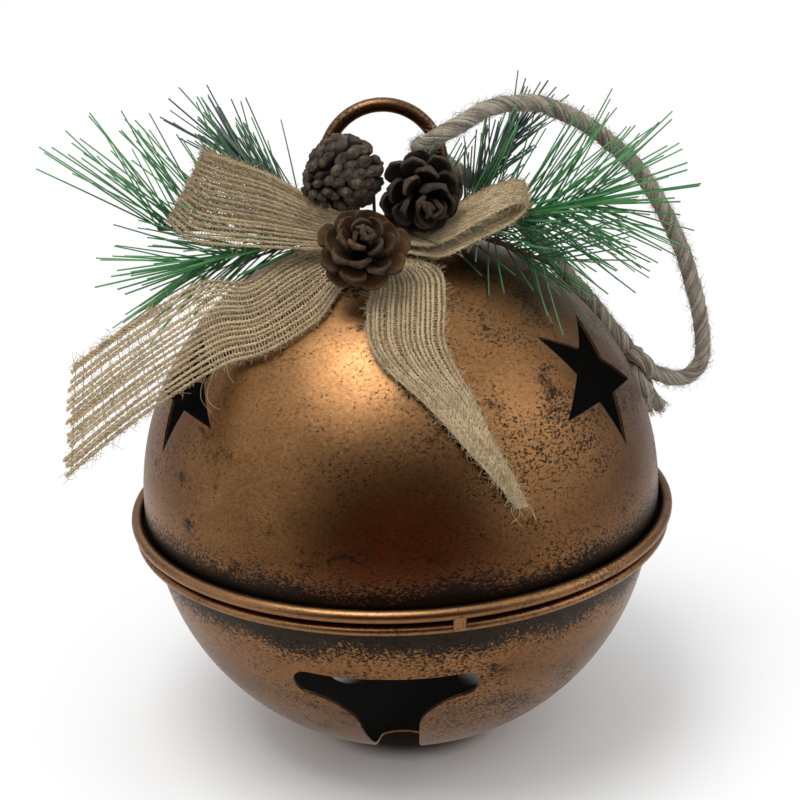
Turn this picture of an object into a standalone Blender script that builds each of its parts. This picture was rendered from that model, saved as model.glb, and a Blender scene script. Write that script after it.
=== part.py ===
# Large sheet-metal jingle bell with a hanger loop, a hidden clapper, a jute hanging rope
# and a spray of burlap bow, pine sprigs and pine cones on its crown.
# Metres, +Z up. The origin is the middle of the flat foot, the front faces -Y.

import math

import bmesh
import bpy
import numpy as np
from mathutils import Matrix, Vector

# Shells
GAP = 0.0003
WALL = 0.0012
FOOT_RADIUS = 0.024
BOWL_RADIUS = 0.1175
DOME_RADIUS = 0.120
SKIRT_HEIGHT = 0.0094
SHELL_STEPS = 36
DOME_STEPS = 10
BOWL_STEPS = 10

# Rolled rim: the bead of the dome, the groove under it and the lip of the bowl
RIM_OVERHANG = 0.0065
BEAD_RADIUS = 0.0027
LIP_RADIUS = 0.0015
LIP_INSET = 0.0015
GROOVE_HALF = 0.001
FLANGE_FLAT = 0.0015
TACK_COUNT = 3
TACK_LENGTH = 0.006
TACK_DEPTH = 0.0022
TACK_AZIMUTH = 9.7

# Cut-outs
STAR_COUNT = 3
STAR_AZIMUTH = 57.0
STAR_ELEVATION = 34.0
STAR_TIP_RADIUS = 0.0325
STAR_INNER_RADIUS = 0.0130
FAN_COUNT = 3
FAN_AZIMUTH = -5.0
FAN_ELEVATION = -29.5
FAN_TOP = 0.0250
FAN_TOP_HALF = 0.0310
FAN_END_HALF = 0.0385
FAN_END_DROP = 0.0090
FAN_WAIST_HALF = 0.0125
FAN_WAIST_DROP = 0.0370
FAN_CROWN = 0.0005
FAN_TAIL = 0.0360
NECK_HALF = 0.0105
NECK_START = -47.0
HUB_RADIUS = 0.0295
STAR_PUNCH_DEPTH = 0.030
FAN_PUNCH_DEPTH = 0.048

# Hanger loop and its welds
LOOP_ROD = 0.0062
LOOP_HALF_WIDTH = 0.0254
LOOP_HEIGHT = 0.0552
LOOP_SHIFT = -0.0025
LOOP_SINK = 0.0120
LOOP_ARC_STEPS = 16
WELD_WIDTH = 0.0022
WELD_HEIGHT = 0.0024

# Clapper
STAPLE_WIRE = 0.0030
STAPLE_HALF_WIDTH = 0.0090
STAPLE_DROP = 0.0140
ROD_WIRE = 0.0040
EYE_RADIUS = 0.0050
BALL_RADIUS = 0.0150
BALL_FLOOR_GAP = 0.0240
SOCKET_DEPTH = 0.0120

# Jute rope and its knot
ROPE_WIDTH = 0.0080
KNOT_RING = 0.0072
KNOT_SWING = 0.0036
KNOT_TUBE = 0.0027
KNOT_AZIMUTH = 104.5
KNOT_ELEVATION = 19.0
TAIL_WIDTH = 0.0065

# Burlap ribbon
RIBBON_THICK = 0.0010
RIBBON_LENGTH_STEPS = 28
RIBBON_WIDTH_STEPS = 4
BOW_WIRE = 0.0012
BOW_WIRE_TURNS = 2
WIRE_PITCH_GAP = 0.0006

# Pine sprigs
STEM_WIDTH = 0.0025
STEM_SPACING = 0.0028
STEM_STRAIGHT = 0.0066
STEM_POINTS = 15
NEEDLE_WIDTH = 0.0010
NEEDLE_ROOT = 0.30
NEEDLE_CLEARANCE = 0.0010
NEEDLE_SAMPLE = 0.0020
NEEDLE_SKIP = 2
LASH_WIRE = 0.0012
LASH_TURNS = 2
LASH_SLANT = math.radians(30.0)
LASH_HALF = 0.0083
LASH_RAISE = 0.0007
BUNDLE_LIFT = 0.0007

# Pine cones
PICK_WIRE = 0.0016
GOLDEN_ANGLE = math.pi * (3.0 - math.sqrt(5.0))

# Sizes that follow from the ones above
RIM_RADIUS = DOME_RADIUS + RIM_OVERHANG
RIM_PLANE = math.sqrt(BOWL_RADIUS**2 - FOOT_RADIUS**2)
JOINT_PLANE = RIM_PLANE - BEAD_RADIUS - GROOVE_HALF
DOME_CENTRE = JOINT_PLANE + SKIRT_HEIGHT
APEX = DOME_CENTRE + DOME_RADIUS

# The bow, the sprigs, the cones and the rope are placed in 120ths of the dome's radius,
# so that they go along with the dome.
SPRAY_UNIT = DOME_RADIUS / 120.0


def direction(azimuth, elevation):
    # Azimuth runs from the front (-Y) towards +X, elevation up from the horizontal.
    a = math.radians(azimuth)
    e = math.radians(elevation)
    return Vector((math.sin(a) * math.cos(e), -math.cos(a) * math.cos(e), math.sin(e)))


def on_dome(azimuth, elevation, lift):
    return Vector((0.0, 0.0, DOME_CENTRE)) + direction(azimuth, elevation) * (DOME_RADIUS + lift)


def by_crown(x, y, z):
    # A place given from the top of the dome.
    return Vector((x, y, APEX + z))


def spray(x, y, z):
    # A place given from the top of the dome in spray units.
    return by_crown(x * SPRAY_UNIT, y * SPRAY_UNIT, z * SPRAY_UNIT)


def lain(azimuth, elevation, lift):
    # A place over the dome, with the lift in spray units.
    return on_dome(azimuth, elevation, lift * SPRAY_UNIT)


def arc(centre_r, centre_z, radius, start, end, steps):
    points = []
    for i in range(steps + 1):
        a = math.radians(start + (end - start) * i / steps)
        points.append((centre_r + radius * math.cos(a), centre_z + radius * math.sin(a)))
    return points


def smooth_line(points, count):
    # Evenly spaced points on a centripetal curve through the given points.
    p = [Vector(q) for q in points]
    p = [p[0] * 2 - p[1]] + p + [p[-1] * 2 - p[-2]]
    fine = []
    for i in range(1, len(p) - 2):
        for k in range(24):
            t = k / 24.0
            a = p[i - 1] * (-t + 2 * t * t - t**3)
            b = p[i] * (2 - 5 * t * t + 3 * t**3)
            c = p[i + 1] * (t + 4 * t * t - 3 * t**3)
            d = p[i + 2] * (-t * t + t**3)
            fine.append((a + b + c + d) * 0.5)
    fine.append(p[-2])
    lengths = [0.0]
    for a, b in zip(fine, fine[1:]):
        lengths.append(lengths[-1] + (b - a).length)
    spaced = []
    j = 0
    for i in range(count):
        want = lengths[-1] * i / (count - 1)
        while j < len(fine) - 2 and lengths[j + 1] < want:
            j += 1
        share = (want - lengths[j]) / max(lengths[j + 1] - lengths[j], 1e-9)
        spaced.append(fine[j].lerp(fine[j + 1], min(max(share, 0.0), 1.0)))
    return spaced


def start_scene():
    for old in list(bpy.data.objects):
        bpy.data.objects.remove(old, do_unlink=True)
    for name in ("christmas_bell_ornament", "cutters"):
        if name not in bpy.data.collections:
            bpy.context.scene.collection.children.link(bpy.data.collections.new(name))


def finish_material(name, colour, roughness, metallic):
    material = bpy.data.materials.new(name)
    material.use_nodes = True
    shader = material.node_tree.nodes["Principled BSDF"]
    shader.inputs["Base Color"].default_value = (*colour, 1.0)
    shader.inputs["Roughness"].default_value = roughness
    shader.inputs["Metallic"].default_value = metallic
    return material


def add(name, data, material=None):
    obj = bpy.data.objects.new(name, data)
    home = "christmas_bell_ornament" if material else "cutters"
    bpy.data.collections[home].objects.link(obj)
    if material:
        obj.data.materials.append(material)
    else:
        obj.hide_render = True
        obj.display_type = "WIRE"
    return obj


def mesh_from(bm, name, smooth=True):
    mesh = bpy.data.meshes.new(name)
    bm.to_mesh(mesh)
    bm.free()
    if smooth:
        mesh.shade_smooth()
        mesh.set_sharp_from_angle(angle=math.radians(40))
    return mesh


def turned(name, profile, material=None, steps=SHELL_STEPS):
    bm = bmesh.new()
    verts = [bm.verts.new((r, 0.0, z)) for r, z in profile]
    for a, b in zip(verts, verts[1:]):
        bm.edges.new((a, b))
    obj = add(name, mesh_from(bm, name, smooth=False), material)
    screw = obj.modifiers.new("turn", "SCREW")
    screw.steps = steps
    screw.render_steps = steps
    screw.use_merge_vertices = True
    screw.merge_threshold = 0.00001
    screw.use_smooth_shade = True
    return obj


def tube(name, points, radius, material=None, resolution=2, closed=False):
    curve = bpy.data.curves.new(name, "CURVE")
    curve.dimensions = "3D"
    curve.bevel_depth = radius
    curve.bevel_resolution = resolution
    curve.use_fill_caps = not closed
    line = curve.splines.new("POLY")
    line.points.add(len(points) - 1)
    for point, place in zip(line.points, points):
        point.co = (*place, 1.0)
    line.use_cyclic_u = closed
    return add(name, curve, material)


def as_mesh(obj):
    # Turns a curve object into a welded mesh object of the same name and material.
    bpy.context.view_layer.update()
    seen = obj.evaluated_get(bpy.context.evaluated_depsgraph_get())
    mesh = bpy.data.meshes.new_from_object(seen)
    name = obj.name
    place = obj.matrix_world.copy()
    materials = list(obj.data.materials)
    bpy.data.objects.remove(obj, do_unlink=True)
    bm = bmesh.new()
    bm.from_mesh(mesh)
    bmesh.ops.remove_doubles(bm, verts=bm.verts, dist=0.000005)
    bmesh.ops.recalc_face_normals(bm, faces=bm.faces)
    bm.to_mesh(mesh)
    bm.free()
    mesh.materials.clear()
    fresh = add(name, mesh, materials[0] if materials else None)
    fresh.matrix_world = place
    return fresh


def outline_punch(name, outline, depth, place):
    curve = bpy.data.curves.new(name, "CURVE")
    curve.dimensions = "2D"
    curve.fill_mode = "BOTH"
    curve.extrude = depth / 2
    line = curve.splines.new("POLY")
    line.points.add(len(outline) - 1)
    for point, (u, v) in zip(line.points, outline):
        point.co = (u, v, 0.0, 1.0)
    line.use_cyclic_u = True
    obj = add(name, curve)
    obj.matrix_world = place
    return as_mesh(obj)


def boolean(obj, tool, operation="DIFFERENCE", self_crossing=False):
    step = obj.modifiers.new(tool.name, "BOOLEAN")
    step.operation = operation
    step.object = tool
    step.solver = "EXACT"
    step.use_self = self_crossing
    return step


def tangent_place(azimuth, elevation, centre, radius):
    # A frame on a sphere: X to the right, Y up along the meridian, Z outwards.
    out = direction(azimuth, elevation)
    across = direction(azimuth + 90.0, 0.0)
    up = out.cross(across)
    turn = Matrix((across, up, out)).transposed().to_4x4()
    return Matrix.Translation(centre + out * radius) @ turn


def dome_tool(name, radius):
    # A ball with the same facets as the dome, so that what it cuts follows the dome evenly.
    profile = arc(0.0, DOME_CENTRE, radius, 90, -90, 2 * DOME_STEPS)
    profile[0] = (0.0, DOME_CENTRE + radius)
    profile[-1] = (0.0, DOME_CENTRE - radius)
    return turned(name, profile)


def rod_tool(name, centre, radius, length):
    bm = bmesh.new()
    bmesh.ops.create_cone(
        bm, cap_ends=True, segments=24, radius1=radius, radius2=radius, depth=length
    )
    obj = add(name, mesh_from(bm, name))
    obj.location = centre
    return obj


def upper_shell(copper):
    bead_r = RIM_RADIUS - BEAD_RADIUS
    profile = arc(0.0, DOME_CENTRE, DOME_RADIUS, 90, 0, DOME_STEPS)
    profile[0] = (0.0, APEX)
    profile.append((DOME_RADIUS, JOINT_PLANE + WALL))
    profile += arc(bead_r, RIM_PLANE, BEAD_RADIUS, 215, -90, 7)
    profile.append((DOME_RADIUS + FLANGE_FLAT, JOINT_PLANE))
    profile.append((DOME_RADIUS - WALL, JOINT_PLANE))
    inner = arc(0.0, DOME_CENTRE, DOME_RADIUS - WALL, 0, 90, DOME_STEPS)
    inner[-1] = (0.0, APEX - WALL)
    shell = turned("upper_shell", profile + inner, copper)
    for i in range(STAR_COUNT):
        outline = []
        for k in range(10):
            radius = STAR_TIP_RADIUS if k % 2 == 0 else STAR_INNER_RADIUS
            a = math.radians(-90 + 36 * k)
            outline.append((radius * math.cos(a), radius * math.sin(a)))
        azimuth = STAR_AZIMUTH + 360.0 / STAR_COUNT * i
        centre = Vector((0.0, 0.0, DOME_CENTRE))
        place = tangent_place(azimuth, STAR_ELEVATION, centre, DOME_RADIUS)
        boolean(shell, outline_punch(f"star_punch_{i + 1}", outline, STAR_PUNCH_DEPTH, place))
    return shell


def fan_outline():
    # Half outline of the fan, mirrored: flat top, round ends, sides sweeping in to the neck.
    end_v = FAN_TOP - FAN_END_DROP
    waist_v = FAN_TOP - FAN_WAIST_DROP
    end_r = FAN_END_HALF - FAN_TOP_HALF
    right = [(FAN_TOP_HALF / 2, FAN_TOP - FAN_CROWN)]
    right += arc(FAN_TOP_HALF, end_v, end_r, 80, -60, 5)
    sweep_from = right[-1]
    sweep = []
    for i in range(1, 7):
        t = i / 6.0
        u = sweep_from[0] + (FAN_WAIST_HALF - sweep_from[0]) * math.sin(t * math.pi / 2)
        v = sweep_from[1] + (waist_v - sweep_from[1]) * (1 - math.cos(t * math.pi / 2))
        sweep.append((u, v))
    right += sweep
    right.append((NECK_HALF - FAN_CROWN, waist_v - FAN_TAIL))
    left = [(-u, v) for u, v in reversed(right)]
    return [(0.0, FAN_TOP)] + right + left


def lower_shell(copper):
    lip_r = RIM_RADIUS - LIP_INSET - LIP_RADIUS
    lip_z = JOINT_PLANE - GROOVE_HALF - LIP_RADIUS
    top = JOINT_PLANE - GAP
    inside = BOWL_RADIUS - WALL
    foot_in = math.degrees(math.asin((WALL - RIM_PLANE) / inside))
    rim_in = math.degrees(math.asin((top - RIM_PLANE) / inside))
    foot_out = math.degrees(math.acos(FOOT_RADIUS / BOWL_RADIUS))
    rim_out = math.degrees(math.asin((top - WALL - RIM_PLANE) / BOWL_RADIUS))
    profile = [(0.0, WALL)]
    profile += arc(0.0, RIM_PLANE, inside, foot_in, rim_in, BOWL_STEPS)
    profile.append((DOME_RADIUS + FLANGE_FLAT, top))
    profile += arc(lip_r, lip_z, LIP_RADIUS, 90, -110, 5)
    profile += arc(0.0, RIM_PLANE, BOWL_RADIUS, rim_out, -foot_out, BOWL_STEPS)
    profile.append((0.0, 0.0))
    shell = turned("lower_shell", profile, copper)
    centre = Vector((0.0, 0.0, RIM_PLANE))
    reach = BOWL_RADIUS * math.cos(math.radians(NECK_START))
    for i in range(FAN_COUNT):
        azimuth = FAN_AZIMUTH + 360.0 / FAN_COUNT * i
        place = tangent_place(azimuth, FAN_ELEVATION, centre, BOWL_RADIUS)
        boolean(shell, outline_punch(f"fan_punch_{i + 1}", fan_outline(), FAN_PUNCH_DEPTH, place))
        end = HUB_RADIUS + NECK_HALF
        neck = [(NECK_HALF, -reach)]
        neck += [(u, -v) for u, v in arc(0.0, end, NECK_HALF, 0, -180, 6)]
        neck += [(-NECK_HALF, -reach)]
        place = Matrix.Rotation(math.radians(azimuth), 4, "Z")
        boolean(shell, outline_punch(f"neck_punch_{i + 1}", neck, RIM_PLANE, place))
    return shell


def rim_tacks(steel):
    for i in range(TACK_COUNT):
        azimuth = TACK_AZIMUTH + 360.0 / TACK_COUNT * i
        height = 2 * GROOVE_HALF - 2 * GAP
        bm = bmesh.new()
        bmesh.ops.create_cube(bm, size=1.0)
        bmesh.ops.scale(bm, vec=(TACK_LENGTH, TACK_DEPTH, height), verts=bm.verts)
        obj = add(f"rim_tack_{i + 1}", mesh_from(bm, "rim_tack"), steel)
        bevel = obj.modifiers.new("round", "BEVEL")
        bevel.width = height * 0.3
        bevel.segments = 1
        radius = RIM_RADIUS - BEAD_RADIUS
        obj.location = direction(azimuth, 0.0) * radius + Vector((0.0, 0.0, JOINT_PLANE))
        obj.rotation_euler = (0.0, 0.0, math.radians(azimuth))


def loop_line():
    centre_z = LOOP_HEIGHT - LOOP_HALF_WIDTH
    line = [by_crown(LOOP_SHIFT - LOOP_HALF_WIDTH, 0.0, -LOOP_SINK)]
    for i in range(LOOP_ARC_STEPS + 1):
        a = math.pi * (1 - i / LOOP_ARC_STEPS)
        x = LOOP_SHIFT + LOOP_HALF_WIDTH * math.cos(a)
        line.append(by_crown(x, 0.0, centre_z + LOOP_HALF_WIDTH * math.sin(a)))
    line.append(by_crown(LOOP_SHIFT + LOOP_HALF_WIDTH, 0.0, -LOOP_SINK))
    return line


def hanger_loop(copper):
    crown = dome_tool("crown_tool", DOME_RADIUS + GAP)
    loop = as_mesh(tube("hanger_loop", loop_line(), LOOP_ROD / 2, copper, resolution=3))
    boolean(loop, crown)
    for side, name in ((-1, "left"), (1, "right")):
        x = LOOP_SHIFT + side * LOOP_HALF_WIDTH
        foot = DOME_CENTRE + math.sqrt(DOME_RADIUS**2 - x**2)
        inner = LOOP_ROD / 2 + GAP
        profile = [
            (inner, foot + WELD_HEIGHT),
            (inner + WELD_WIDTH * 0.35, foot + WELD_HEIGHT * 0.9),
            (inner + WELD_WIDTH, foot - WELD_HEIGHT),
            (inner, foot - WELD_HEIGHT),
            (inner, foot + WELD_HEIGHT),
        ]
        weld = turned(f"loop_weld_{name}", profile, copper, steps=16)
        weld.location = (x, 0.0, 0.0)
        boolean(weld, crown)


def clapper(steel):
    roof = APEX - WALL - GAP
    bar = roof - STAPLE_DROP
    bend = bar + STAPLE_HALF_WIDTH
    line = [Vector((-STAPLE_HALF_WIDTH, 0.0, roof))]
    for i in range(13):
        a = math.pi * (1 + i / 12)
        x = STAPLE_HALF_WIDTH * math.cos(a)
        line.append(Vector((x, 0.0, bend + STAPLE_HALF_WIDTH * math.sin(a))))
    line.append(Vector((STAPLE_HALF_WIDTH, 0.0, roof)))
    staple = as_mesh(tube("clapper_staple", line, STAPLE_WIRE / 2, steel))
    inside = dome_tool("roof_tool", DOME_RADIUS - WALL - GAP)
    boolean(staple, inside, "INTERSECT")

    # The rod hangs by a closed eye on the staple, and swings about the staple's bar (X).
    pivot = bpy.data.objects.new("clapper_pivot", None)
    bpy.data.collections["christmas_bell_ornament"].objects.link(pivot)
    pivot.location = (0.0, 0.0, bar)
    eye_z = STAPLE_WIRE / 2 + GAP + ROD_WIRE / 2 - EYE_RADIUS
    ball_z = BALL_FLOOR_GAP + BALL_RADIUS - bar
    neck = Vector((0.0, 0.0, eye_z - EYE_RADIUS - ROD_WIRE))
    end = Vector((0.0, 0.0, ball_z + BALL_RADIUS - SOCKET_DEPTH + GAP))
    ring = []
    for i in range(16):
        a = 2 * math.pi * i / 16
        ring.append(Vector((0.0, EYE_RADIUS * math.sin(a), eye_z + EYE_RADIUS * math.cos(a))))
    eye_part = as_mesh(tube("eye_part", ring, ROD_WIRE / 2, resolution=1, closed=True))
    shank = [Vector((0.0, 0.0, eye_z - EYE_RADIUS)), neck, end]
    rod = as_mesh(tube("clapper_rod", shank, ROD_WIRE / 2, steel, resolution=1))
    boolean(rod, eye_part, "UNION")
    rod.parent = pivot
    eye_part.parent = pivot

    bm = bmesh.new()
    bmesh.ops.create_uvsphere(bm, u_segments=14, v_segments=8, radius=BALL_RADIUS)
    ball = add("clapper_ball", mesh_from(bm, "clapper_ball"), steel)
    ball.parent = pivot
    ball.location = (0.0, 0.0, ball_z)
    socket_z = ball_z + BALL_RADIUS - SOCKET_DEPTH / 2 + BALL_RADIUS / 2
    socket = rod_tool("ball_socket", (0, 0, socket_z), ROD_WIRE / 2 + GAP, SOCKET_DEPTH + BALL_RADIUS)
    socket.parent = pivot
    boolean(ball, socket)


def rope_route():
    # From the knot up the back of the dome, through the hanger loop, and out over the
    # right side in a wide arch back to the knot.
    return [
        lain(103.8, 26.6, 5.8),
        lain(105.5, 30.0, 4.7),
        lain(107.3, 36.0, 4.7),
        lain(108.5, 43.0, 4.7),
        lain(109.0, 50.0, 6.5),
        spray(56.0, 20.0, 2.0),
        spray(33.0, 16.0, 21.0),
        spray(17.0, 9.0, 33.0),
        spray(12.0, 0.0, 36.5),
        spray(16.5, -8.8, 39.5),
        spray(27.5, -7.5, 45.0),
        spray(48.0, 6.0, 53.5),
        spray(68.0, 18.0, 54.0),
        spray(92.0, 27.0, 41.5),
        spray(115.5, 31.0, 21.5),
        spray(131.0, 33.0, -3.0),
        spray(142.0, 34.0, -28.0),
        spray(150.5, 34.0, -55.0),
        spray(149.0, 33.0, -75.0),
        spray(140.0, 32.0, -85.0),
        spray(125.8, 31.0, -81.2),
    ]


def knot_tails():
    # The bend and the cut end of the two short rope ends below the knot.
    return [
        (spray(120.3, 29.0, -92.5), spray(121.6, 29.0, -100.0)),
        (spray(122.8, 31.5, -91.2), spray(129.3, 33.0, -99.5)),
    ]


def rope(jute):
    line = smooth_line(rope_route(), 52)
    tube("hanging_rope", line, ROPE_WIDTH / 2, jute, resolution=2)

    # The two ends are tied in one overhand knot that leans on the dome.
    ring = []
    for i in range(32):
        a = 2 * math.pi * i / 32
        radius = KNOT_RING + KNOT_SWING * math.cos(3 * a)
        height = KNOT_SWING * math.sin(3 * a)
        ring.append(Vector((radius * math.cos(2 * a), radius * math.sin(2 * a), height)))
    reach = KNOT_SWING + KNOT_TUBE + GAP
    centre = Vector((0.0, 0.0, DOME_CENTRE))
    place = tangent_place(KNOT_AZIMUTH, KNOT_ELEVATION, centre, DOME_RADIUS + reach)
    ring = [place @ p for p in ring]
    knot = as_mesh(tube("rope_knot", ring, KNOT_TUBE, jute, resolution=1, closed=True))
    middle = place.translation
    for i, (bend, end) in enumerate(knot_tails()):
        tail_line = smooth_line([middle, bend, end], 5)
        tail = as_mesh(tube(f"knot_tail_{i + 1}", tail_line, TAIL_WIDTH / 2, resolution=1))
        boolean(knot, tail, "UNION", self_crossing=True)
    return line


def ribbon_surface(stations, u, v):
    # A point at share u along the strip and share v across it.
    at = u * (len(stations) - 1)
    i = min(int(at), len(stations) - 2)
    t = at - i
    edges = []
    for side in (0, 1):
        p = [Vector(stations[min(max(k, 0), len(stations) - 1)][side]) for k in range(i - 1, i + 3)]
        a = p[0] * (-t + 2 * t * t - t**3)
        b = p[1] * (2 - 5 * t * t + 3 * t**3)
        c = p[2] * (t + 4 * t * t - 3 * t**3)
        d = p[3] * (-t * t + t**3)
        edges.append((a + b + c + d) * 0.5)
    return edges[0].lerp(edges[1], v)


def ribbon(name, stations, burlap):
    bm = bmesh.new()
    bmesh.ops.create_grid(
        bm, x_segments=RIBBON_LENGTH_STEPS, y_segments=RIBBON_WIDTH_STEPS, size=0.5
    )
    for vert in bm.verts:
        vert.co = ribbon_surface(stations, vert.co.x + 0.5, vert.co.y + 0.5)
    obj = add(name, mesh_from(bm, name), burlap)
    thick = obj.modifiers.new("cloth", "SOLIDIFY")
    thick.thickness = RIBBON_THICK
    thick.offset = 0.0
    thick.use_even_offset = True
    return obj


def left_loop_stations():
    return [
        (spray(-9.0, -33.5, 10.0), spray(-9.0, -33.5, 1.0)),
        (spray(-28.0, -35.2, 12.5), spray(-27.0, -37.5, 0.5)),
        (spray(-52.0, -27.5, 30.0), spray(-54.5, -35.0, 1.5)),
        (spray(-68.0, -18.5, 37.5), spray(-84.0, -22.5, 2.5)),
        (spray(-76.5, -12.5, 39.3), spray(-94.0, -17.0, 9.0)),
        (spray(-78.5, -8.5, 39.5), spray(-96.0, -12.5, 10.0)),
        (spray(-75.5, -5.0, 38.5), spray(-93.0, -8.5, 9.5)),
        (spray(-64.0, -6.5, 34.5), spray(-80.0, -8.5, 8.0)),
        (spray(-48.0, -13.0, 27.0), spray(-52.0, -15.0, 6.0)),
        (spray(-28.0, -27.0, 12.0), spray(-27.0, -28.0, 1.5)),
        (spray(-9.0, -30.0, 9.5), spray(-9.0, -30.0, 1.0)),
    ]


def right_loop_stations():
    return [
        (spray(-5.0, -27.5, 4.2), spray(-5.0, -36.0, 3.6)),
        (spray(13.0, -18.5, 3.4), spray(12.0, -40.0, 1.6)),
        (spray(23.0, -15.5, 9.6), spray(22.0, -43.0, 3.5)),
        (spray(38.0, -6.5, 16.5), spray(37.0, -40.5, 11.0)),
        (spray(52.0, -1.0, 20.5), spray(50.0, -35.0, 16.0)),
        (spray(58.5, 1.0, 19.5), spray(56.0, -31.0, 16.0)),
        (spray(59.0, 1.0, 16.5), spray(56.5, -31.0, 13.0)),
        (spray(53.0, -1.0, 14.0), spray(50.0, -35.0, 8.5)),
        (spray(39.0, -8.0, 12.0), spray(37.0, -41.0, 3.5)),
        (spray(23.0, -17.0, 6.8), spray(22.0, -44.0, -2.5)),
        (spray(13.0, -20.0, 0.4), spray(12.0, -41.0, -2.2)),
        (spray(-5.0, -27.5, 1.2), spray(-5.0, -36.5, 0.6)),
    ]


def tail_stations():
    return [
        (spray(-127.0, -80.0, -30.7), spray(-134.5, -86.0, -77.0)),
        (spray(-113.4, -72.0, -22.9), spray(-112.4, -78.0, -62.0)),
        (spray(-98.4, -62.0, -15.0), spray(-93.1, -68.0, -51.0)),
        (spray(-78.8, -40.0, -9.2), spray(-69.0, -64.0, -36.3)),
        (lain(-61.0, 54.7, 7.5), lain(-35.0, 46.7, 3.0)),
        (lain(-57.0, 61.0, 6.0), lain(-25.0, 52.0, 2.0)),
        (lain(-43.0, 69.0, 2.0), lain(-21.5, 62.0, 1.8)),
        (lain(-14.0, 75.0, 1.0), lain(-11.5, 70.0, 1.0)),
        (lain(14.0, 72.0, 1.6), lain(-8.5, 66.0, 1.6)),
        (lain(24.0, 66.0, 2.2), lain(-9.3, 60.5, 2.2)),
        (lain(18.7, 57.5, 3.0), lain(-9.4, 55.0, 3.0)),
        (lain(14.2, 48.3, 3.0), lain(-7.5, 48.2, 3.0)),
        (lain(15.3, 41.9, 3.0), lain(-2.7, 43.0, 3.0)),
        (lain(17.5, 36.2, 3.0), lain(6.1, 35.9, 3.0)),
        (lain(19.5, 28.4, 3.0), lain(13.4, 27.5, 3.0)),
        (lain(22.2, 21.2, 2.8), lain(18.5, 20.9, 2.8)),
        (lain(24.4, 15.1, 2.4), lain(22.4, 15.0, 2.4)),
    ]


def wound_wire(name, centre, half_a, half_b, turns, pitch, radius, material):
    # A wire wound in squarish turns; half_a and half_b are the half axes of a turn.
    along = half_a.cross(half_b).normalized()
    steps = 12
    line = []
    for i in range(turns * steps + 1):
        a = 2 * math.pi * i / steps
        c = math.copysign(math.sqrt(abs(math.cos(a))), math.cos(a))
        d = math.copysign(math.sqrt(abs(math.sin(a))), math.sin(a))
        shift = along * (pitch * (i / steps - turns / 2))
        line.append(centre + half_a * c + half_b * d + shift)
    tube(name, line, radius, material, resolution=1)
    least = min((line[i] - line[k]).length for i in range(len(line)) for k in range(i - steps // 2))
    print(f"{name}: least gap between turns {(least - 2 * radius) * 1000:.2f} mm")
    return line


def cone_frame(centre, axis):
    turn = axis.to_track_quat("Z", "Y").to_matrix().to_4x4()
    return Matrix.Translation(centre) @ turn


def pine_cone(name, centre, axis, radius, length, scales, tilts, stalk, brown):
    # Scales sit on a spiral round a core; the local Z runs from the stalk to the tip.
    bm = bmesh.new()
    bmesh.ops.create_uvsphere(bm, u_segments=10, v_segments=8, radius=1.0)
    bmesh.ops.scale(bm, vec=(radius * 0.46, radius * 0.46, length * 0.44), verts=bm.verts)
    core = add(name, mesh_from(bm, name), brown)
    core.matrix_world = cone_frame(centre, axis)

    bm = bmesh.new()
    for i in range(scales):
        t = (i + 0.5) / scales
        swell = math.sin(math.pi * min(1.0, 0.32 + 0.60 * t)) ** 0.8
        tip_r = radius * swell
        tilt = math.radians(tilts[0] + (tilts[1] - tilts[0]) * t)
        root = Vector((0.0, 0.0, length * (-0.40 + 0.62 * t)))
        reach = tip_r / max(math.sin(tilt), 0.45)
        half = Vector((radius * 0.34 * (1.15 - 0.45 * t), reach * 0.52, radius * 0.13))
        petal = bmesh.ops.create_uvsphere(bm, u_segments=5, v_segments=3, radius=1.0)
        lay = Matrix.Rotation(math.pi / 2, 4, "X")
        size = Matrix.Diagonal((half.x, half.y, half.z, 1.0))
        out = Matrix.Translation((0.0, reach - half.y, 0.0))
        raise_up = Matrix.Rotation(math.pi / 2 - tilt, 4, "X")
        spin = Matrix.Rotation(GOLDEN_ANGLE * i, 4, "Z")
        move = Matrix.Translation(root) @ spin @ raise_up @ out @ size @ lay
        bmesh.ops.transform(bm, matrix=move, verts=petal["verts"])
    petals = add(f"{name}_scales", mesh_from(bm, f"{name}_scales"))
    petals.matrix_world = core.matrix_world.copy()
    boolean(core, petals, "UNION", self_crossing=True)
    line = smooth_line([centre - axis * (length * 0.30)] + stalk, 7)
    pick = as_mesh(tube(f"{name}_pick", line, PICK_WIRE / 2))
    boolean(core, pick, "UNION")
    return core


SPRIGS = (
    # name, row in the bundle, side, places after the bundle, share of stem that is bare,
    # needle count, needle length, lean of the needles off the stem in degrees; in spray units
    ("left_rear", 1, -1, ((-46.0, 3.0, 12.0), (-68.0, 24.0, 32.0)), 0.50, 58, 56.0, 40.0),
    ("left", 0, -1, ((-60.0, -2.0, 3.0), (-104.0, 4.0, 4.0)), 0.60, 92, 67.0, 66.0),
    ("left_low", -1, -1, ((-50.0, -8.0, -2.0), (-86.0, -10.0, -10.0)), 0.46, 114, 58.0, 32.0),
    ("right_rear", 1, 1, ((40.0, 6.0, 18.0), (56.0, 22.0, 37.0)), 0.52, 50, 36.0, 36.0),
    ("right", 0, 1, ((56.0, -1.0, 6.0), (89.0, 3.0, 10.0)), 0.50, 94, 62.0, 68.0),
    ("right_low", -1, 1, ((42.0, -18.0, -1.0), (66.0, -30.0, -10.0)), 0.46, 88, 52.0, 36.0),
)


def on_stems(x):
    # A place on top of the bundle of stems.
    top = STEM_WIDTH + BUNDLE_LIFT + STEM_SPACING + GAP
    return by_crown(x * SPRAY_UNIT, bundle_place(0, 1)[0], top)


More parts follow.
